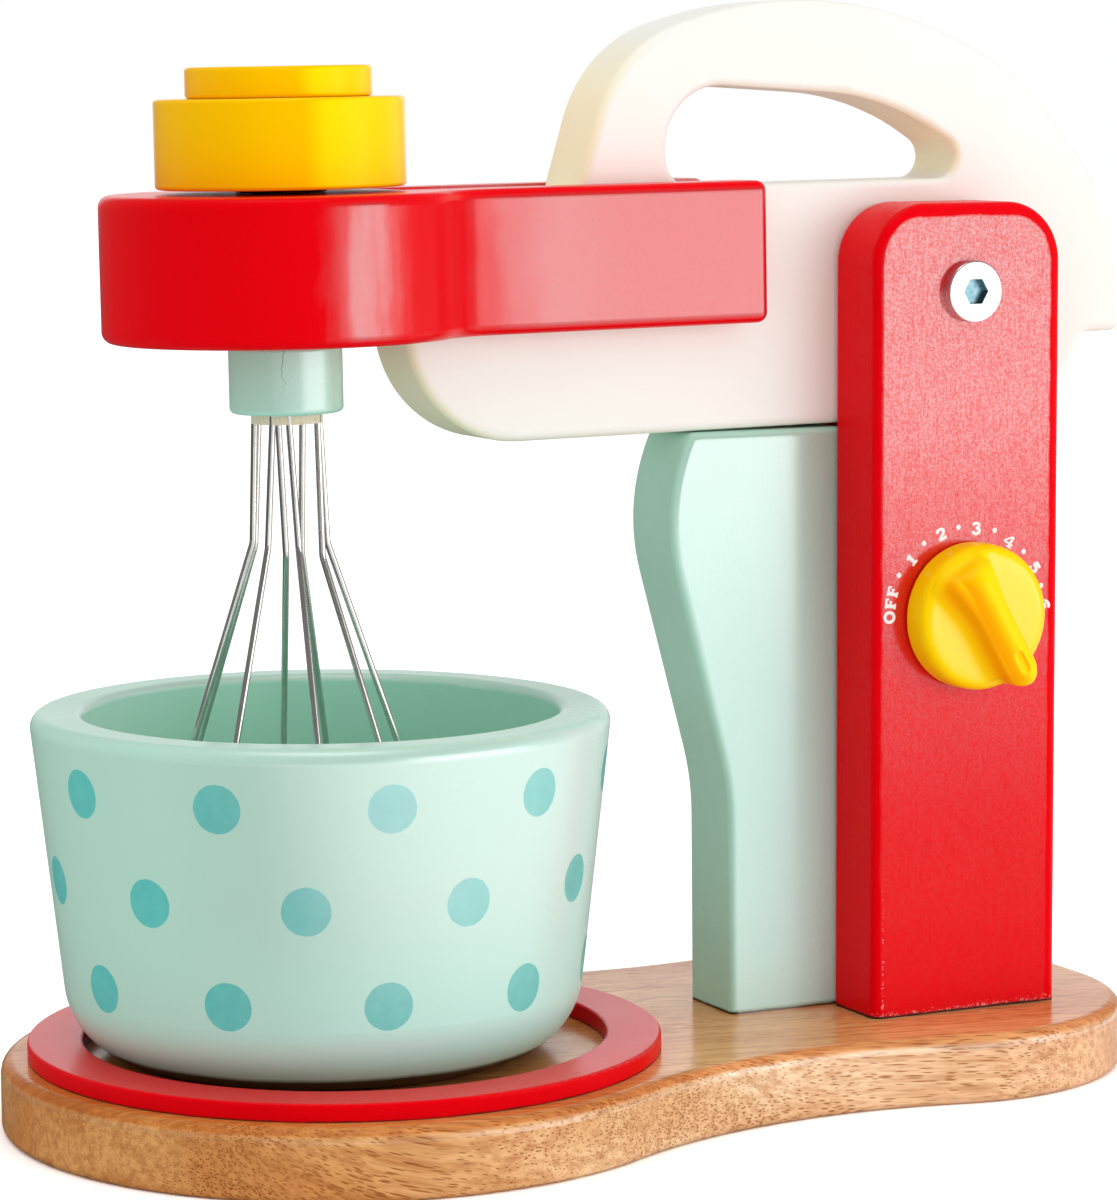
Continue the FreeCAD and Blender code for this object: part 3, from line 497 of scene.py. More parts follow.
def lacquered(name, paint, deep, fibres=ALONG_Z, gloss=(0.3, 0.4), fibre=0.35, peel=1100.0,
              relief=0.00006, shine=0.25, tint=WHITE, haze=None, flat=None, along=None, wear=None,
              bare=None, foot=None):
    """Coloured lacquer on wood, or smooth plastic where fibre is nothing, with its haze and its wear.

    A foot is the height where the piece stands on the board; just above it runs a dark line of painted
    contact shade. Under the haze the paint is darkened as painted shade."""
    made = new_finish(name)
    tree, shader, place = made.tree, made.shader, made.place
    skin = use_group(
        tree, LACQUER, Place=place, Fibre_Place=scaled(tree, place, fibres), Paint=paint, Deep=deep,
        Peel_Size=peel, Fibre=fibre, Gloss_Low=gloss[0], Gloss_High=gloss[1],
    )
    colour = skin.outputs["Colour"]
    height = skin.outputs["Height"]
    if wear:
        flecks = use_group(
            tree, FLECKS, Place=place, Line_X=wear.line_x, Face_Y=wear.face_y, Foot=BOARD_TOP,
            Rise=wear.rise, Amount=wear.amount,
        ).outputs["Flecks"]
        colour = mixed(tree, flecks, colour, bare)
        height = maths(tree, "SUBTRACT", height, times(tree, flecks, 0.5))
    # A dark line of painted contact shade just above the foot, where the piece stands on the board
    if foot:
        wander = noise(tree, place, scale=120.0, detail=2.0)
        height_above = maths(tree, "MULTIPLY_ADD", wander, 0.0006, split(tree, place)[2])
        joint = remap(tree, height_above, foot + 0.0011, foot + 0.0006)
        colour = mixed(tree, joint, colour, (0.025, 0.012, 0.008, 1))
    tree.links.new(skin.outputs["Roughness"], shader.inputs["Roughness"])
    shader.inputs["Specular IOR Level"].default_value = shine
    shader.inputs["Specular Tint"].default_value = tint
    if haze:
        cover = haze_cover(tree, place, skin.outputs["Grit"], haze, flat, along)
        tree.links.new(cover, shader.inputs["Coat Weight"])
        shader.inputs["Coat IOR"].default_value = haze.index
        shader.inputs["Coat Roughness"].default_value = haze.roughness
        # Under the haze the paint is darkened as painted shade, to offset the haze's highlight
        haze_shade_colour = (haze.dulling, haze.dulling, haze.dulling, 1)
        colour = mixed(tree, cover, colour, haze_shade_colour, "MULTIPLY")
    tree.links.new(colour, shader.inputs["Base Color"])
    bump(tree, shader, height, 0.5, relief)
    return made._replace(colour=colour)


def repainted(made, colour):
    """Gives a finish another colour and returns its material."""
    made.tree.links.new(colour, made.shader.inputs["Base Color"])
    return made.material


def sheen_painted_low(made, colour, pale, high):
    """Less haze on a front towards its foot, where the gloss would show the board, and a paler paint there
    in its place, a painted sheen.
    """
    tree, weight = made.tree, made.shader.inputs["Coat Weight"]
    upright = split(tree, made.place)[2]
    above_contact_shade = remap(tree, upright, BOARD_TOP + 0.0008, BOARD_TOP + 0.0014)
    low = times(tree, remap(tree, upright, high, BOARD_TOP + 0.009), above_contact_shade)
    haze = feeding(weight)
    tree.links.new(times(tree, haze, maths(tree, "MULTIPLY_ADD", low, -0.75, 1.0)), weight)
    return mixed(tree, times(tree, low, haze), colour, pale)


# Red lacquers
RED_PAINT = (0.80, 0.001, 0.006, 1)
RED_SHEEN = dict(gloss=(0.22, 0.30), peel=1800.0, shine=0.06, tint=(1.0, 0.12, 0.12, 1))


def red_cheek(name, wear):
    """A cheek's lacquer, flatted on its outer face, rubbed at one edge and at its foot."""
    return lacquered(
        name, RED_PAINT, (0.73, 0.0008, 0.004, 1), relief=0.00016, haze=CHEEK_FRONT, flat=CHEEK_FLAT,
        wear=wear, bare=(0.88, 0.34, 0.32, 1), foot=BOARD_TOP, **RED_SHEEN,
    ).material


RED_HEAD = lacquered(
    "red lacquer on the head", RED_PAINT, (0.75, 0.0008, 0.004, 1), ALONG_X, gloss=(0.17, 0.24),
    fibre=0.25, peel=1400.0, relief=0.0001, shine=0.1, tint=RED_SHEEN["tint"], haze=HEAD_FRONT,
    along=HEAD_HAZE,
).material
RED_RING = lacquered(
    "red lacquer on the ring", RED_PAINT, (0.68, 0.0008, 0.004, 1), ALONG_X, relief=0.00008,
    haze=RING_FACE, foot=BOARD_TOP - 0.0003, **{**RED_SHEEN, "gloss": (0.28, 0.36)},
).material


def column_mint():
    made = lacquered(
        "mint lacquer", (0.46, 0.75, 0.625, 1), (0.41, 0.70, 0.575, 1), gloss=(0.30, 0.38), fibre=0.3,
        peel=1300.0, relief=0.00009, shine=0.15, haze=COLUMN_FRONT, wear=COLUMN_WEAR,
        bare=(0.62, 0.62, 0.50, 1), foot=BOARD_TOP,
    )
    # A paler mint is painted low on the front, a painted sheen in place of the haze
    return repainted(made, sheen_painted_low(made, made.colour, (0.62, 0.92, 0.86, 1), 0.15))


def arm_cream():
    """The arm's cream lacquer, with a yellower tint painted where it faces the bowl and turns from the
    light, as the warm cast of its shade.
    """
    made = lacquered(
        "cream lacquer", (0.885, 0.88, 0.82, 1), (0.865, 0.85, 0.78, 1), ALONG_X, gloss=(0.34, 0.42),
        fibre=0.15, peel=1300.0, relief=0.00004, shine=0.4,
    )
    # Painted shade tint: a yellower cream on the faces turned from the light
    turned_from_light = facing(made.tree, (-0.95, 0.0, -0.3), 0.1, 0.7)
    return repainted(made, mixed(made.tree, turned_from_light, made.colour, (0.98, 0.93, 0.68, 1)))


def knob_yellow():
    """The knob's yellow lacquer, with a paler yellow painted as light on the side turned to the lamp."""
    made = lacquered(
        "yellow lacquer", (1.0, 0.57, 0.0, 1), (1.0, 0.53, 0.0, 1), NO_GRAIN, gloss=(0.2, 0.26),
        fibre=0.04, peel=1300.0, relief=0.00002, shine=0.36, tint=(1.0, 0.8, 0.03, 1),
    )
    # Painted light: a paler yellow on the side turned to the key light
    bright = facing(made.tree, (0.55, -0.83, 0.0), 0.70, 0.82)
    return repainted(made, mixed(made.tree, bright, made.colour, (1.0, 0.72, 0.0, 1)))


# A level just under the dial's face, on which its grip stands
DIAL_FACE = -0.0387
RIM_START = 0.0150


def dial_plastic():
    """Yellow moulded plastic: a deeper orange painted as shade on the grip's flank that turns from the
    light and round the rim's shoulder, and less haze where the grip and the rim stand.
    """
    made = lacquered(
        "dial plastic", (1.0, 0.68, 0.003, 1), (1.0, 0.66, 0.0, 1), NO_GRAIN, gloss=(0.2, 0.24),
        fibre=0.0, peel=2600.0, relief=0.00001, shine=0.16, tint=(1.0, 0.85, 0.2, 1), haze=DIAL_FRONT,
    )
    tree, weight = made.tree, made.shader.inputs["Coat Weight"]
    x, y, z = split(tree, made.place)
    raised = remap(tree, y, DIAL_FACE - 0.0002, DIAL_FACE - 0.0025)
    rim = remap(tree, off_axis(tree, x, z, DIAL.x, DIAL.z), RIM_START, RIM_START + 0.0016)
    # Painted shade: a deeper orange on the grip's flank turned from the light, and round the rim
    shaded_flank = facing(tree, (-0.87, 0.0, -0.5), -0.2, 0.4)
    deep = mixed(tree, times(tree, raised, shaded_flank), made.colour, (1.0, 0.40, 0.0, 1))
    deep = mixed(tree, times(tree, rim, 0.7), deep, (1.0, 0.58, 0.0, 1))
    thick = maths(tree, "MAXIMUM", raised, rim)
    tree.links.new(times(tree, feeding(weight), rest_of(tree, thick)), weight)
    return repainted(made, deep)


# Hidden pieces, the plug, the knob's washer painted black as shade, and the print
DRY = dict(gloss=(0.6, 0.7), peel=1500.0)
SMOOTH = dict(gloss=(0.4, 0.5), relief=0.00001)
BARE = lacquered(
    "bare beech", (0.74, 0.56, 0.36, 1), (0.60, 0.42, 0.25, 1), fibre=0.6, relief=0.0001, shine=0.3,
    **DRY,
).material
PLUG_WOOD = lacquered(
    "bare beech end grain", (0.84, 0.76, 0.62, 1), (0.66, 0.52, 0.36, 1), NO_GRAIN, fibre=0.6,
    relief=0.0001, shine=0.2, **DRY,
).material
# The knob's washer is painted near black, painted shade for the dark line under the knob
WASHER_PAINTED_BLACK = lacquered(
    "knob washer painted black as shade", (0.03, 0.028, 0.026, 1), (0.015, 0.014, 0.013, 1), NO_GRAIN, fibre=0.3,
    relief=0.00003, shine=0.2, **DRY,
).material
NYLON = lacquered(
    "natural nylon", (0.8, 0.8, 0.76, 1), (0.76, 0.76, 0.72, 1), NO_GRAIN, fibre=0.0, peel=1500.0,
    **SMOOTH,
).material
PRINT = lacquered(
    "white print", (0.92, 0.90, 0.90, 1), (0.85, 0.80, 0.80, 1), NO_GRAIN, fibre=0.3, peel=2500.0,
    **SMOOTH,
).material


def cracked_mint():
    """The hub's mint lacquer, with one fine crack that runs down from its top."""
    made = lacquered(
        "mint lacquer on the hub", (0.46, 0.80, 0.66, 1), (0.40, 0.73, 0.595, 1), NO_GRAIN,
        gloss=(0.34, 0.42), fibre=0.3, peel=1500.0, relief=0.00009, shine=0.2, haze=HUB_FRONT,
    )
    crack_x = -0.0150
    crack_top = 0.177
    crack_end = 0.1645
    tree = made.tree
    x, y, z = split(tree, made.place)
    swing = times(tree, stretched(tree, made.place, (0.0, 0.0, 230.0), detail=4.0, roughness=0.7), 0.006)
    away = apart(tree, maths(tree, "ADD", x, swing), crack_x)
    width = remap(tree, z, 0.166, crack_top, 0.00004, 0.00022)
    line = remap(tree, away, width, times(tree, width, 0.3))
    front = remap(tree, y, -0.004, -0.006)
    crack = times(tree, line, front, remap(tree, z, crack_end, 0.168))
    return repainted(made, mixed(tree, times(tree, crack, 0.75), made.colour, (0.16, 0.24, 0.20, 1)))


# The bowl's dots: how high each row is and at what angle it starts, their pitch, number and radius
DOT_ROWS = ((0.0813, -302.4), (0.0592, -285.4), (0.0376, -302.4))
DOT_PITCH = math.radians(33.85)
DOTS_IN_ROW = 11.0
DOT_RADIUS = 0.0054
# How far from its axis the bowl's outer wall begins
BOWL_WALL_START = 0.0562
TEAL = (0.11, 0.54, 0.50, 1)
PALE_TEAL = (0.13, 0.58, 0.53, 1)


def dotted_mint():
    """The bowl's mint lacquer: teal dots outside; a paler mint painted as reflection on its right side and
    as sheen low on its front; painted shade towards its foot and a line of painted contact shade where it
    meets the ring; a deeper mint in its hollow, with a painted highlight at its left.
    """
    made = lacquered(
        "dotted mint lacquer", (0.475, 0.745, 0.625, 1), (0.45, 0.72, 0.60, 1), NO_GRAIN,
        gloss=(0.26, 0.32), fibre=0.06, peel=900.0, relief=0.00002, shine=0.2, haze=BOWL_FRONT,
    )
    tree, place, weight = made.tree, made.place, made.shader.inputs["Coat Weight"]
    x, y, z = split(tree, place)
    dots = 0.0
    for height, angle in DOT_ROWS:
        row = use_group(
            tree, DOTS, Place=place, Centre_X=BOWL.x, Centre_Y=BOWL.y, Row_Height=height,
            First_Angle=math.radians(angle), Pitch=DOT_PITCH, Dots=DOTS_IN_ROW, Dot_Radius=DOT_RADIUS,
        )
        dots = maths(tree, "MAXIMUM", dots, row.outputs["Dots"])
    from_axis = off_axis(tree, x, y, BOWL.x, BOWL.y)
    outside = remap(tree, from_axis, BOWL_WALL_START, BOWL_WALL_START + 0.0003)
    teal = mixed(tree, remap(tree, noise(tree, place, scale=300.0), 0.35, 0.65), TEAL, PALE_TEAL)
    # Painted reflection: a paler mint on the side turned to the right, where its haze is lessened
    right = facing(tree, (0.95, -0.3, 0.0), 0.3, 0.9)
    colour = mixed(tree, right, made.colour, (0.64, 0.86, 0.79, 1))
    # A paler mint is painted low on the front, a painted sheen in place of the haze
    colour = sheen_painted_low(made, colour, (0.49, 0.86, 0.77, 1), 0.06)
    colour = mixed(tree, times(tree, dots, outside), colour, teal)
    height = maths(tree, "MULTIPLY_ADD", noise(tree, place, scale=60.0, detail=2.0), 0.001, z)
    # Painted shade: a grey-brown towards the bowl's foot, above the ring
    foot_shade = remap(tree, height, RING_TOP + 0.007, RING_TOP + 0.001, 0.0, 0.2)
    colour = mixed(tree, foot_shade, colour, (0.46, 0.42, 0.38, 1))
    # A dark line of painted contact shade where the bowl meets the ring
    joint = remap(tree, height, RING_TOP + 0.0013, RING_TOP + 0.0001)
    colour = mixed(tree, joint, colour, (0.02, 0.012, 0.010, 1))
    # The origin is inside the bowl, so its outer faces turn away from it and its hollow towards it
    outward = dot(tree, coordinate(tree, "Normal"), place)
    outer = remap(tree, outward, 0.0, 0.02)
    inner = remap(tree, outward, -0.005, -0.03)
    # Painted highlight: a paler mint on the hollow's left inner wall
    lit_side = remap(tree, x, -0.012, -0.045, 0.0, 0.8)
    hollow = mixed(tree, lit_side, (0.36, 0.72, 0.56, 1), (0.52, 0.84, 0.71, 1))
    colour = mixed(tree, inner, colour, hollow)
    haze = times(tree, feeding(weight), maths(tree, "MULTIPLY_ADD", right, -0.6, 1.0), outer)
    tree.links.new(haze, weight)
    return repainted(made, colour)


def varnished_board():
    """Hardwood under varnish, golden along its top. Painted light makes it paler towards its right end and
    at the waist of its side; painted shade makes its left end darker and lays an amber band on the rounding
    of its rim.
    """
    made = new_finish("varnished board")
    tree, shader, place = made.tree, made.shader, made.place
    x = split(tree, place)[0]
    wood = use_group(
        tree, HARDWOOD, Place=place, Light=(0.79, 0.40, 0.145, 1), Middle=(0.66, 0.275, 0.08, 1),
        Dark=(0.47, 0.165, 0.042, 1), Pore=(0.31, 0.085, 0.014, 1),
    )
    upward = facing(tree, UP, 0.42, 0.6)
    level = facing(tree, UP, 0.965, 0.999)
    side = rest_of(tree, upward)
    rim = times(tree, upward, rest_of(tree, level))
    # Painted light and shade in the wood's colour: the side paler at its waist and towards the right end,
    # the left end darker, and the rim's rounding a darker amber
    waist = graded(tree, x, ((0.0, 0.15), (0.03, 0.8), (0.07, 1.0), (0.1, 0.5), (0.13, 0.1)))
    right = remap(tree, x, -0.03, 0.07, 0.0, 0.85)
    shaded_left_end = remap(tree, x, -0.035, -0.06, 0.0, 0.8)
    tones_and_painted_light = (
        (right, (1.18, 1.47, 2.45, 1)),
        (shaded_left_end, (0.92, 0.88, 0.80, 1)),
        (times(tree, waist, side), (1.10, 1.32, 1.5, 1)),
        (times(tree, rim, 0.7), (0.82, 0.50, 0.2, 1)),
        (times(tree, level, 0.85), (0.96, 0.80, 0.48, 1)),
    )
    colour = wood.outputs["Colour"]
    for share, stain in tones_and_painted_light:
        colour = mixed(tree, share, colour, stain, "MULTIPLY")
    tree.links.new(wood.outputs["Roughness"], shader.inputs["Roughness"])
    shader.inputs["Specular IOR Level"].default_value = 0.15
    sheen = times(tree, facing(tree, UP, 0.0, 0.06), facing(tree, DOWN, -0.5, -0.35))
    streaky = stretched(tree, place, (90.0, 90.0, 500.0), roughness=0.6)
    sheen = times(tree, sheen, remap(tree, streaky, 0.3, 0.6, 0.35, 1.0))
    gloss = maths(tree, "MULTIPLY_ADD", level, 0.28, sheen, clamp=True)
    tree.links.new(gloss, shader.inputs["Coat Weight"])
    shader.inputs["Coat Roughness"].default_value = 0.15
    shader.inputs["Coat IOR"].default_value = 1.8
    bump(tree, shader, wood.outputs["Height"], 0.4, 0.00008)
    return repainted(made, colour)


TURNED = (1800.0, 1800.0, 1800.0)
DRAWN = (900.0, 900.0, 60.0)


def metal(name, colour, dull, marks, roughness, spread):
    """Bare metal with fine drawing or turning marks, so many to the metre along X, Y and Z."""
    made = new_finish(name)
    tree, shader = made.tree, made.shader
    scratches = stretched(tree, made.place, marks, roughness=0.6)
    tint = mixed(tree, remap(tree, scratches, 0.4, 0.75), colour, dull)
    gloss = remap(tree, scratches, 0.3, 0.7, roughness, roughness + spread)
    tree.links.new(tint, shader.inputs["Base Color"])
    tree.links.new(gloss, shader.inputs["Roughness"])
    shader.inputs["Metallic"].default_value = 1.0
    bump(tree, shader, scratches, 0.08, 0.00001)
    return made._replace(colour=tint)


def bolt_zinc():
    """Bright plating, with painted shade, dark and bluish, down in the hexagon socket."""
    socket_radius = 0.0037
    head_face = 0.0331
    made = metal("zinc plate on the bolt", (0.9, 0.91, 0.92, 1), (0.8, 0.82, 0.84, 1), TURNED, 0.26, 0.12)
    tree = made.tree
    x, y, z = split(tree, made.place)
    inside = remap(tree, off_axis(tree, x, z, PIVOT.x, PIVOT.z), socket_radius, socket_radius - 0.0001)
    deep = remap(tree, maths(tree, "ABSOLUTE", y), head_face, head_face - 0.0006)
    # Painted shade: a dark bluish grey down in the hexagon socket
    socket_shade = mixed(tree, noise(tree, made.place, scale=900.0), (0.05, 0.12, 0.15, 1), (0.30, 0.46, 0.52, 1))
    return repainted(made, mixed(tree, times(tree, inside, deep), made.colour, socket_shade))


WIRE = metal("polished wire", (0.74, 0.73, 0.70, 1), (0.58, 0.57, 0.55, 1), DRAWN, 0.15, 0.06).material
ZINC = metal("zinc plate", (0.88, 0.89, 0.90, 1), (0.74, 0.77, 0.79, 1), TURNED, 0.28, 0.15).material
DIAL_YELLOW = dial_plastic()
# Which pieces have which finish
FINISHES = (
    (varnished_board(), ["base_board"]),
    (RED_RING, ["bowl_ring"]),
    (dotted_mint(), ["bowl"]),
    (red_cheek("red lacquer", FRONT_WEAR), ["front_cheek"]),
    (red_cheek("red lacquer on the back cheek", BACK_WEAR), ["back_cheek"]),
    (column_mint(), ["support_column"]),
    (arm_cream(), ["mixer_arm"]),
    (RED_HEAD, ["head_block"]),
    (knob_yellow(), ["knob_base", "knob_cap"]),
    (cracked_mint(), ["whisk_hub"]),
    (PLUG_WOOD, ["whisk_plug"]),
    (WIRE, [f"whisk_loop_{number}" for number in range(1, 5)]),
    (bolt_zinc(), ["pivot_bolt", "pivot_nut"]),
    (DIAL_YELLOW, ["dial_knob"]),
    (BARE, ["spindle", "post_dowels", "head_dowels"]),
    (ZINC, ["base_screws", "knob_screw", "dial_screw", "dial_washer", "dial_spring_washer"]),
    (NYLON, ["pivot_washers", "hub_washer"]),
    (WASHER_PAINTED_BLACK, ["knob_washer"]),
)
for finish, names in FINISHES:
    for name in names:
        for seat in NODES[name].material_slots:
            seat.material = finish


def placed(name, data):
    """A new object in the scene."""
    made = bpy.data.objects.new(name, data)
    bpy.context.scene.collection.objects.link(made)
    return made


# Moulded dial: how its softened skin differs from the solid
GRIP_TURN = math.radians(-60)
VOXEL = 0.0003
EDGE_ROUNDS = 36
END_ROUNDS = 150
GRIP_END_LENGTH = 0.014
GRIP_END_SPREAD = 0.38
SPREAD_REACH = 0.0105
SPREAD_FADE = 0.005
CREST_START = 0.0014
CREST_HALF_WIDTH = 0.0034
CREST_CROWN = 0.2
MARK_LEVEL = -0.0440
MARK_MIDDLE = 0.0115
MARK_HALF_LENGTH = 0.0018
MARK_HALF_WIDTH = 0.0012
MARK_DEPTH = 0.00016
MARK_SOFT_EDGE = 0.0004


def smooth_step(value):
    value = min(max(value, 0.0), 1.0)
    return value * value * (3 - 2 * value)


def along_grip(point):
    """How far a point lies along the grip towards its nose, and to its side."""
    x, z = point.x - DIAL.x, point.z - DIAL.z
    return (
        x * math.cos(GRIP_TURN) + z * math.sin(GRIP_TURN),
        -x * math.sin(GRIP_TURN) + z * math.cos(GRIP_TURN),
    )


def smoothed(draft, rounds, group=""):
    """The mesh of an object after so many rounds of smoothing; the object itself goes."""
    soften = draft.modifiers.new("soft skin", "SMOOTH")
    soften.factor = 0.5
    soften.iterations = rounds
    soften.vertex_group = group
    view = bpy.context.evaluated_depsgraph_get()
    mesh = bpy.data.meshes.new_from_object(draft.evaluated_get(view))
    bpy.data.objects.remove(draft)
    return mesh


def melted_end(mesh):
    """Widens the grip's tail end and melts it into the dial's face."""
    draft = placed("dial draft", mesh)
    end = draft.vertex_groups.new(name="grip end")
    for vertex in mesh.vertices:
        point = vertex.co
        ahead, side = along_grip(point)
        behind = smooth_step(-ahead / GRIP_END_LENGTH)
        if point.y < DIAL_FACE + 2 * VOXEL:
            spread = GRIP_END_SPREAD * behind * smooth_step((SPREAD_REACH - abs(side)) / SPREAD_FADE)
            point.x -= side * spread * math.sin(GRIP_TURN)
            point.z += side * spread * math.cos(GRIP_TURN)
            end.add([vertex.index], behind, "REPLACE")
    return smoothed(draft, END_ROUNDS, end.name)


def moulded_dial():
    """The dial as it comes from its mould: soft shoulders, a crowned grip and an inset pointer mark."""
    draft = placed("dial draft", NODES["dial_knob"].data.copy())
    remesh = draft.modifiers.new("even skin", "REMESH")
    remesh.mode = "VOXEL"
    remesh.voxel_size = VOXEL
    mesh = melted_end(smoothed(draft, EDGE_ROUNDS))
    mesh.name = "dial_moulding"
    for vertex in mesh.vertices:
        point = vertex.co
        ahead, side = along_grip(point)
        height = DIAL_FACE - CREST_START - point.y
        if height > 0:
            point.y += CREST_CROWN * height * min((side / CREST_HALF_WIDTH) ** 2, 1.0)
        if point.y <= MARK_LEVEL:
            past_end = max(abs(ahead - MARK_MIDDLE) - MARK_HALF_LENGTH, 0.0)
            off_line = math.hypot(past_end, side)
            point.y += MARK_DEPTH * smooth_step((MARK_HALF_WIDTH - off_line) / MARK_SOFT_EDGE)
    mesh.shade_smooth()
    mesh.materials.clear()
    mesh.materials.append(DIAL_YELLOW)
    dial = placed("dial_moulding", mesh)
    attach(dial, "dial")
    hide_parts("dial_knob")


# Printed scale
# Each sign is a set of strokes in a box one unit high: a thickness, then the points of its line
SIGNS = {
    "1": [
        (0.24, (0.5, 0.0), (0.5, 1.0)), (0.15, (0.18, 0.07), (0.82, 0.07)),
        (0.17, (0.2, 0.78), (0.5, 0.92)),
    ],
    "2": [
        (0.2, (0.16, 0.7), (0.22, 0.88), (0.5, 0.94), (0.76, 0.8), (0.72, 0.56), (0.45, 0.33),
         (0.18, 0.12)),
        (0.2, (0.12, 0.1), (0.86, 0.1)), (0.12, (0.82, 0.02), (0.82, 0.3)),
    ],
    "3": [
        (0.19, (0.15, 0.74), (0.26, 0.9), (0.52, 0.93), (0.74, 0.8), (0.66, 0.6), (0.42, 0.53)),
        (0.21, (0.5, 0.53), (0.76, 0.42), (0.8, 0.24), (0.6, 0.08), (0.32, 0.08), (0.13, 0.24)),
    ],
    "4": [
        (0.11, (0.58, 0.97), (0.04, 0.36)), (0.13, (0.0, 0.32), (0.96, 0.32)),
        (0.19, (0.66, 1.0), (0.66, 0.03)), (0.11, (0.4, 0.05), (0.92, 0.05)),
    ],
    "5": [
        (0.2, (0.24, 0.9), (0.82, 0.9)), (0.13, (0.26, 0.92), (0.21, 0.52)),
        (0.21, (0.2, 0.54), (0.45, 0.63), (0.74, 0.52), (0.8, 0.28), (0.6, 0.08), (0.34, 0.08),
         (0.15, 0.22)),
    ],
    "6": [
        (0.2, (0.78, 0.84), (0.56, 0.93), (0.3, 0.78), (0.18, 0.48), (0.22, 0.2), (0.45, 0.07),
         (0.7, 0.12), (0.82, 0.33), (0.68, 0.53), (0.42, 0.52), (0.24, 0.36)),
    ],
    "O": [
        (0.21, (0.5, 0.93), (0.2, 0.8), (0.1, 0.5), (0.2, 0.2), (0.5, 0.07), (0.8, 0.2), (0.9, 0.5),
         (0.8, 0.8), (0.5, 0.93)),
    ],
    "F": [
        (0.24, (0.32, 0.0), (0.32, 1.0)), (0.15, (0.1, 0.93), (0.9, 0.93)),
        (0.14, (0.32, 0.52), (0.7, 0.52)), (0.13, (0.1, 0.06), (0.56, 0.06)),
        (0.12, (0.86, 0.96), (0.86, 0.7)), (0.12, (0.68, 0.66), (0.68, 0.38)),
    ],
}
# Each printed sign: what it is, where it stands from the dial's middle in millimetres, and its tilt
SCALE = (
    ("1", -15.5, 13.7, 48), ("2", -7.5, 19.2, 21), ("3", 2.0, 20.1, -6), ("4", 11.1, 16.6, -33),
    ("5", 18.1, 10.1, -60), ("6", 20.9, 1.1, -87), ("O", -21.4, 0.5, 88), ("F", -21.1, 3.6, 82),
    ("F", -20.5, 6.4, 76),
)
SCALE_DOTS = ((-18.9, 10.2), (-12.2, 17.3), (-2.9, 20.6), (7.0, 19.4), (15.0, 14.0), (19.9, 5.7))
# How high a sign is, how much bolder its strokes are than listed, a dot's radius as a share of a
# sign's height, and how finely both are drawn
SIGN_HEIGHT = 0.0028
BOLDNESS = 1.3
DOT_SHARE = 0.22
DOT_SIDES = 20
STEPS_PER_POINT = 5
# How far a sign's first stroke stands off the cheek, how much further each next one does, and how
# far all reach into it
PRINT_PROUD = 0.00003
STROKE_STEP = 0.000004
PRINT_SUNK = 0.00002


def rounded_line(points):
    """More points on a smooth line through the given ones; a line of under four points stays."""
    line = [Vector(point) for point in points]
    if len(line) < 4:
        return line
    closed = points[0] == points[-1]
    before = [line[-2] if closed else line[0]] + line[:-1]
    after = line[1:] + [line[1] if closed else line[-1]]
    made = []
    for index in range(len(line) - 1):
        first, second = line[index], line[index + 1]
        leave = (after[index] - before[index]) / 2
        arrive = (after[index + 1] - before[index + 1]) / 2
        for step in range(STEPS_PER_POINT):
            t = step / STEPS_PER_POINT
            made.append(
                first * (2 * t**3 - 3 * t**2 + 1) + leave * (t**3 - 2 * t**2 + t)
                + second * (3 * t**2 - 2 * t**3) + arrive * (t**3 - t**2)
            )
    return made + [line[-1]]


def ribbon(line, thickness):
    """The two edges of a stroke of even thickness."""
    left, right = [], []
    for index, point in enumerate(line):
        way = (line[min(index + 1, len(line) - 1)] - line[max(index - 1, 0)]).normalized()
        across = Vector((-way.y, way.x)) * thickness / 2
        left.append(point + across)
        right.append(point - across)
    return left, right


def printed_scale():
    """OFF, the figures 1 to 6 and the dots between them: thin closed patches of print round the dial."""
    points, faces = [], []

    def lay(flat, across, up, tilt, deep):
        turn = math.radians(tilt)
        x = (flat.x - 0.5) * SIGN_HEIGHT
        z = (flat.y - 0.5) * SIGN_HEIGHT
        points.append((
            DIAL.x + across / 1000 + x * math.cos(turn) - z * math.sin(turn),
            CHEEK_LOW.y + deep,
            DIAL.z + up / 1000 + x * math.sin(turn) + z * math.cos(turn),
        ))
        return len(points) - 1

    def patch(outline, strips, across, up, tilt, layer):
        """A closed patch: its face as strips of the outline's points, its back and its rim."""
        proud = PRINT_PROUD + STROKE_STEP * layer
        front = [lay(point, across, up, tilt, -proud) for point in outline]
        back = [lay(point, across, up, tilt, PRINT_SUNK) for point in outline]
        for strip in strips:
            faces.append([front[i] for i in strip])
            faces.append([back[i] for i in reversed(strip)])
        for i in range(len(outline)):
            j = (i + 1) % len(outline)
            faces.append([front[j], front[i], back[i], back[j]])

    for sign, across, up, tilt in SCALE:
        for layer, (thickness, *line) in enumerate(SIGNS[sign]):
            left, right = ribbon(rounded_line(line), BOLDNESS * thickness)
            last = 2 * len(left) - 1
            strips = [(i, last - i, last - i - 1, i + 1) for i in range(len(left) - 1)]
            patch(left + right[::-1], strips, across, up, tilt, layer)
    turns = [k * 2 * math.pi / DOT_SIDES for k in range(DOT_SIDES)]
    rim = [Vector((0.5 + DOT_SHARE * math.cos(turn), 0.5 + DOT_SHARE * math.sin(turn))) for turn in turns]
    for across, up in SCALE_DOTS:
        patch(rim, [tuple(range(DOT_SIDES))], across, up, 0, 0)
    mesh = bpy.data.meshes.new("dial_print")
    mesh.from_pydata(points, [], faces)
    shape = bmesh.new()
    shape.from_mesh(mesh)
    bmesh.ops.recalc_face_normals(shape, faces=shape.faces)
    shape.to_mesh(mesh)
    shape.free()
    mesh.materials.append(PRINT)
    scale = placed("dial_print", mesh)
    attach(scale, "stand")


moulded_dial()
printed_scale()

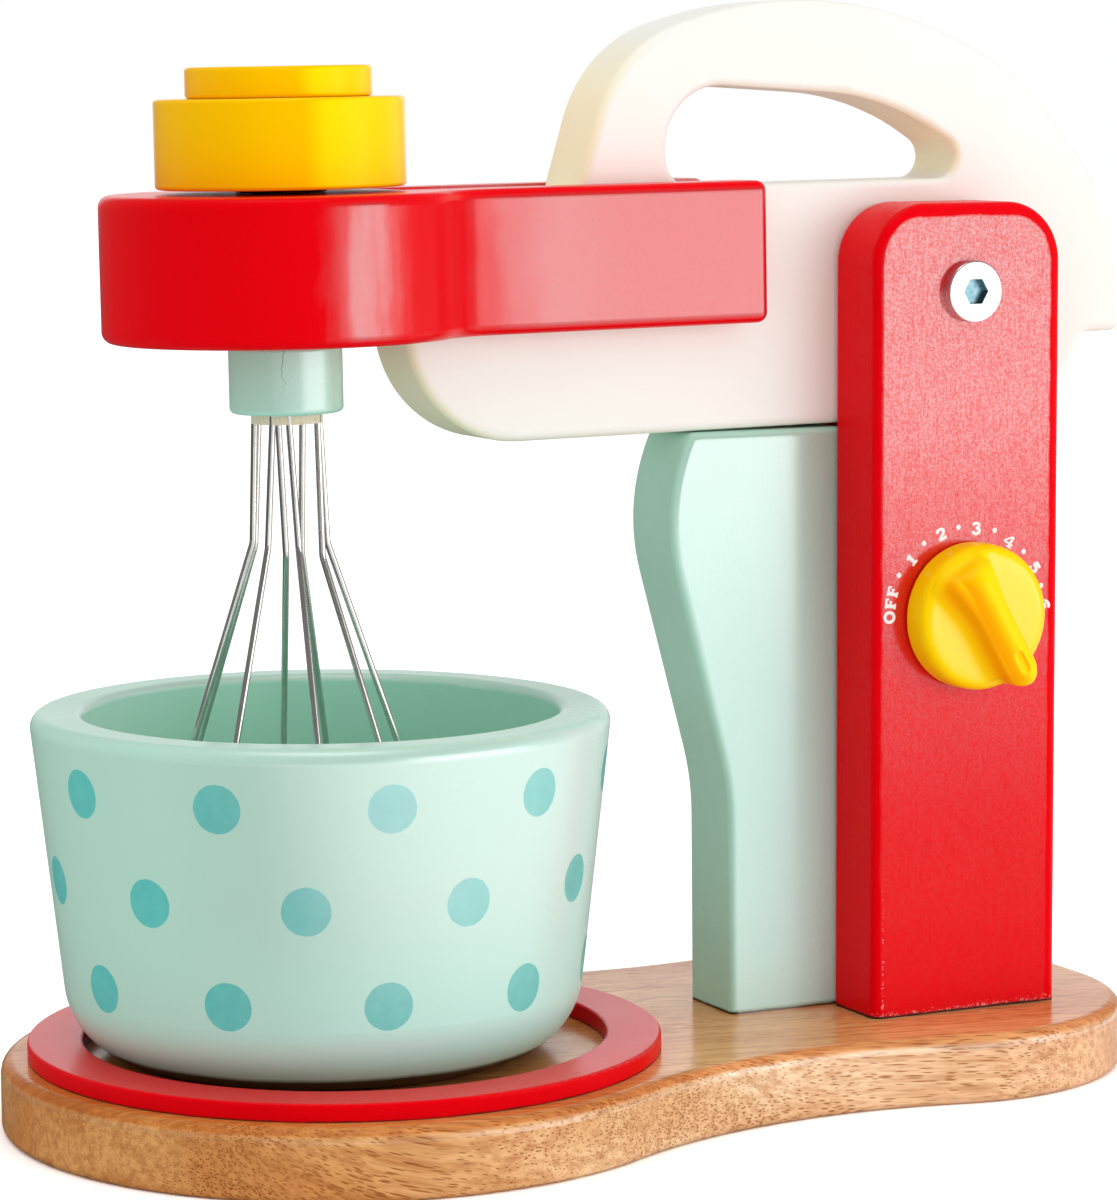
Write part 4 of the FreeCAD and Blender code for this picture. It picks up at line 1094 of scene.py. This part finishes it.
# Studio
# How bright the room is on paint and in its gloss, and where the gloss shows the backdrop
ROOM_LIGHT = 0.88
GLOSS_ROOM = 0.2
BEHIND_OBJECT = (0.45, 0.885, 0.12)
# How far the floor reaches, its tones on paint, in gloss and to the camera, and the way to the light,
# towards which a pool of light is painted on it for the gloss
FLOOR_REACH = 8.0
FLOOR_TONE = 0.85
GLOSS_FLOOR_DARK = 0.12
GLOSS_FLOOR_BRIGHT = 1.1
SEEN_FLOOR = 1.35
TO_LIGHT = (0.6, -0.8, 0.0)


def grey(tone):
    return (tone, tone, tone, 1)


def make_floor():
    """A white floor; in the gloss it is painted dark under the object and painted bright towards the light.
    """
    mesh = bpy.data.meshes.new("studio_floor")
    corners = [(x * FLOOR_REACH, y * FLOOR_REACH, 0) for x, y in ((-1, -1), (1, -1), (1, 1), (-1, 1))]
    mesh.from_pydata(corners, [], [(0, 1, 2, 3)])
    made = new_finish("studio floor")
    tree, shader = made.tree, made.shader
    path = add(tree, "ShaderNodeLightPath")
    lit = remap(tree, dot(tree, made.place, TO_LIGHT), 0.03, 0.18)
    gloss = mixed(tree, lit, grey(GLOSS_FLOOR_DARK), grey(GLOSS_FLOOR_BRIGHT))
    tone = mixed(tree, path.outputs["Is Glossy Ray"], grey(FLOOR_TONE), gloss)
    tone = mixed(tree, path.outputs["Is Camera Ray"], tone, grey(SEEN_FLOOR))
    tree.links.new(tone, shader.inputs["Base Color"])
    shader.inputs["Roughness"].default_value = 0.9
    shader.inputs["Specular IOR Level"].default_value = 0.0
    mesh.materials.append(made.material)
    floor = placed("studio_floor", mesh)


def make_world():
    """White to the camera; a pale backdrop behind the object in its gloss, dimmer elsewhere."""
    world = bpy.data.worlds.new("studio")
    bpy.context.scene.world = world
    world.use_nodes = True
    tree = world.node_tree
    path = add(tree, "ShaderNodeLightPath")
    ahead = dot(tree, coordinate(tree, "Generated"), BEHIND_OBJECT)
    backdrop = remap(tree, ahead, 0.88, 0.97, GLOSS_ROOM, 1.0)
    glossy = times(tree, path.outputs["Is Glossy Ray"], backdrop)
    unseen = rest_of(tree, path.outputs["Is Glossy Ray"])
    room = maths(tree, "MULTIPLY_ADD", unseen, ROOM_LIGHT, glossy)
    seen = maths(tree, "MAXIMUM", path.outputs["Is Camera Ray"], path.outputs["Is Transmission Ray"])
    background = tree.nodes["Background"]
    background.inputs["Color"].default_value = WHITE
    tree.links.new(maths(tree, "MAXIMUM", room, seen), background.inputs["Strength"])


def soft_lamp(name, place, aim, size, power):
    data = bpy.data.lights.new(name, "AREA")
    data.shape = "RECTANGLE"
    data.size, data.size_y = size
    data.energy = power
    lamp = placed(name, data)
    lamp.location = place
    lamp.rotation_euler = (Vector(aim) - Vector(place)).to_track_quat("-Z", "Y").to_euler()


# Where the photograph was taken from: its place, how far the view turns from +Y, dips and leans,
# and the lens and its sensor in millimetres
CAMERA_PLACE = (-0.3714, -0.8746, 0.2319)
CAMERA_TURN = math.radians(25.97)
CAMERA_DIP = math.radians(6.82)
CAMERA_LEAN = math.radians(-0.29)
CAMERA_LENS = 127.31
CAMERA_SENSOR = 36.0


def make_camera():
    right = Vector((math.cos(CAMERA_TURN), -math.sin(CAMERA_TURN), 0))
    ahead = Vector((
        math.sin(CAMERA_TURN) * math.cos(CAMERA_DIP), math.cos(CAMERA_TURN) * math.cos(CAMERA_DIP),
        -math.sin(CAMERA_DIP),
    ))
    above = right.cross(ahead)
    side = math.cos(CAMERA_LEAN) * right + math.sin(CAMERA_LEAN) * above
    top = math.cos(CAMERA_LEAN) * above - math.sin(CAMERA_LEAN) * right
    data = bpy.data.cameras.new("photo camera")
    data.sensor_width = CAMERA_SENSOR
    data.lens = CAMERA_LENS
    data.clip_start = 0.05
    camera = placed("photo camera", data)
    camera.matrix_world = Matrix((
        (side.x, top.x, -ahead.x, CAMERA_PLACE[0]),
        (side.y, top.y, -ahead.y, CAMERA_PLACE[1]),
        (side.z, top.z, -ahead.z, CAMERA_PLACE[2]),
        (0, 0, 0, 1),
    ))
    bpy.context.scene.camera = camera


make_floor()
make_world()
soft_lamp("key softbox", place=(0.634, -0.82, 0.235), aim=(0.06, 0, 0.14), size=(1.0, 0.46), power=3.2)
soft_lamp("top softbox", place=(-0.1, -0.1, 1.3), aim=(0.06, 0, 0.1), size=(0.7, 0.5), power=2.4)
make_camera()
bpy.context.scene.view_settings.view_transform = "Standard"
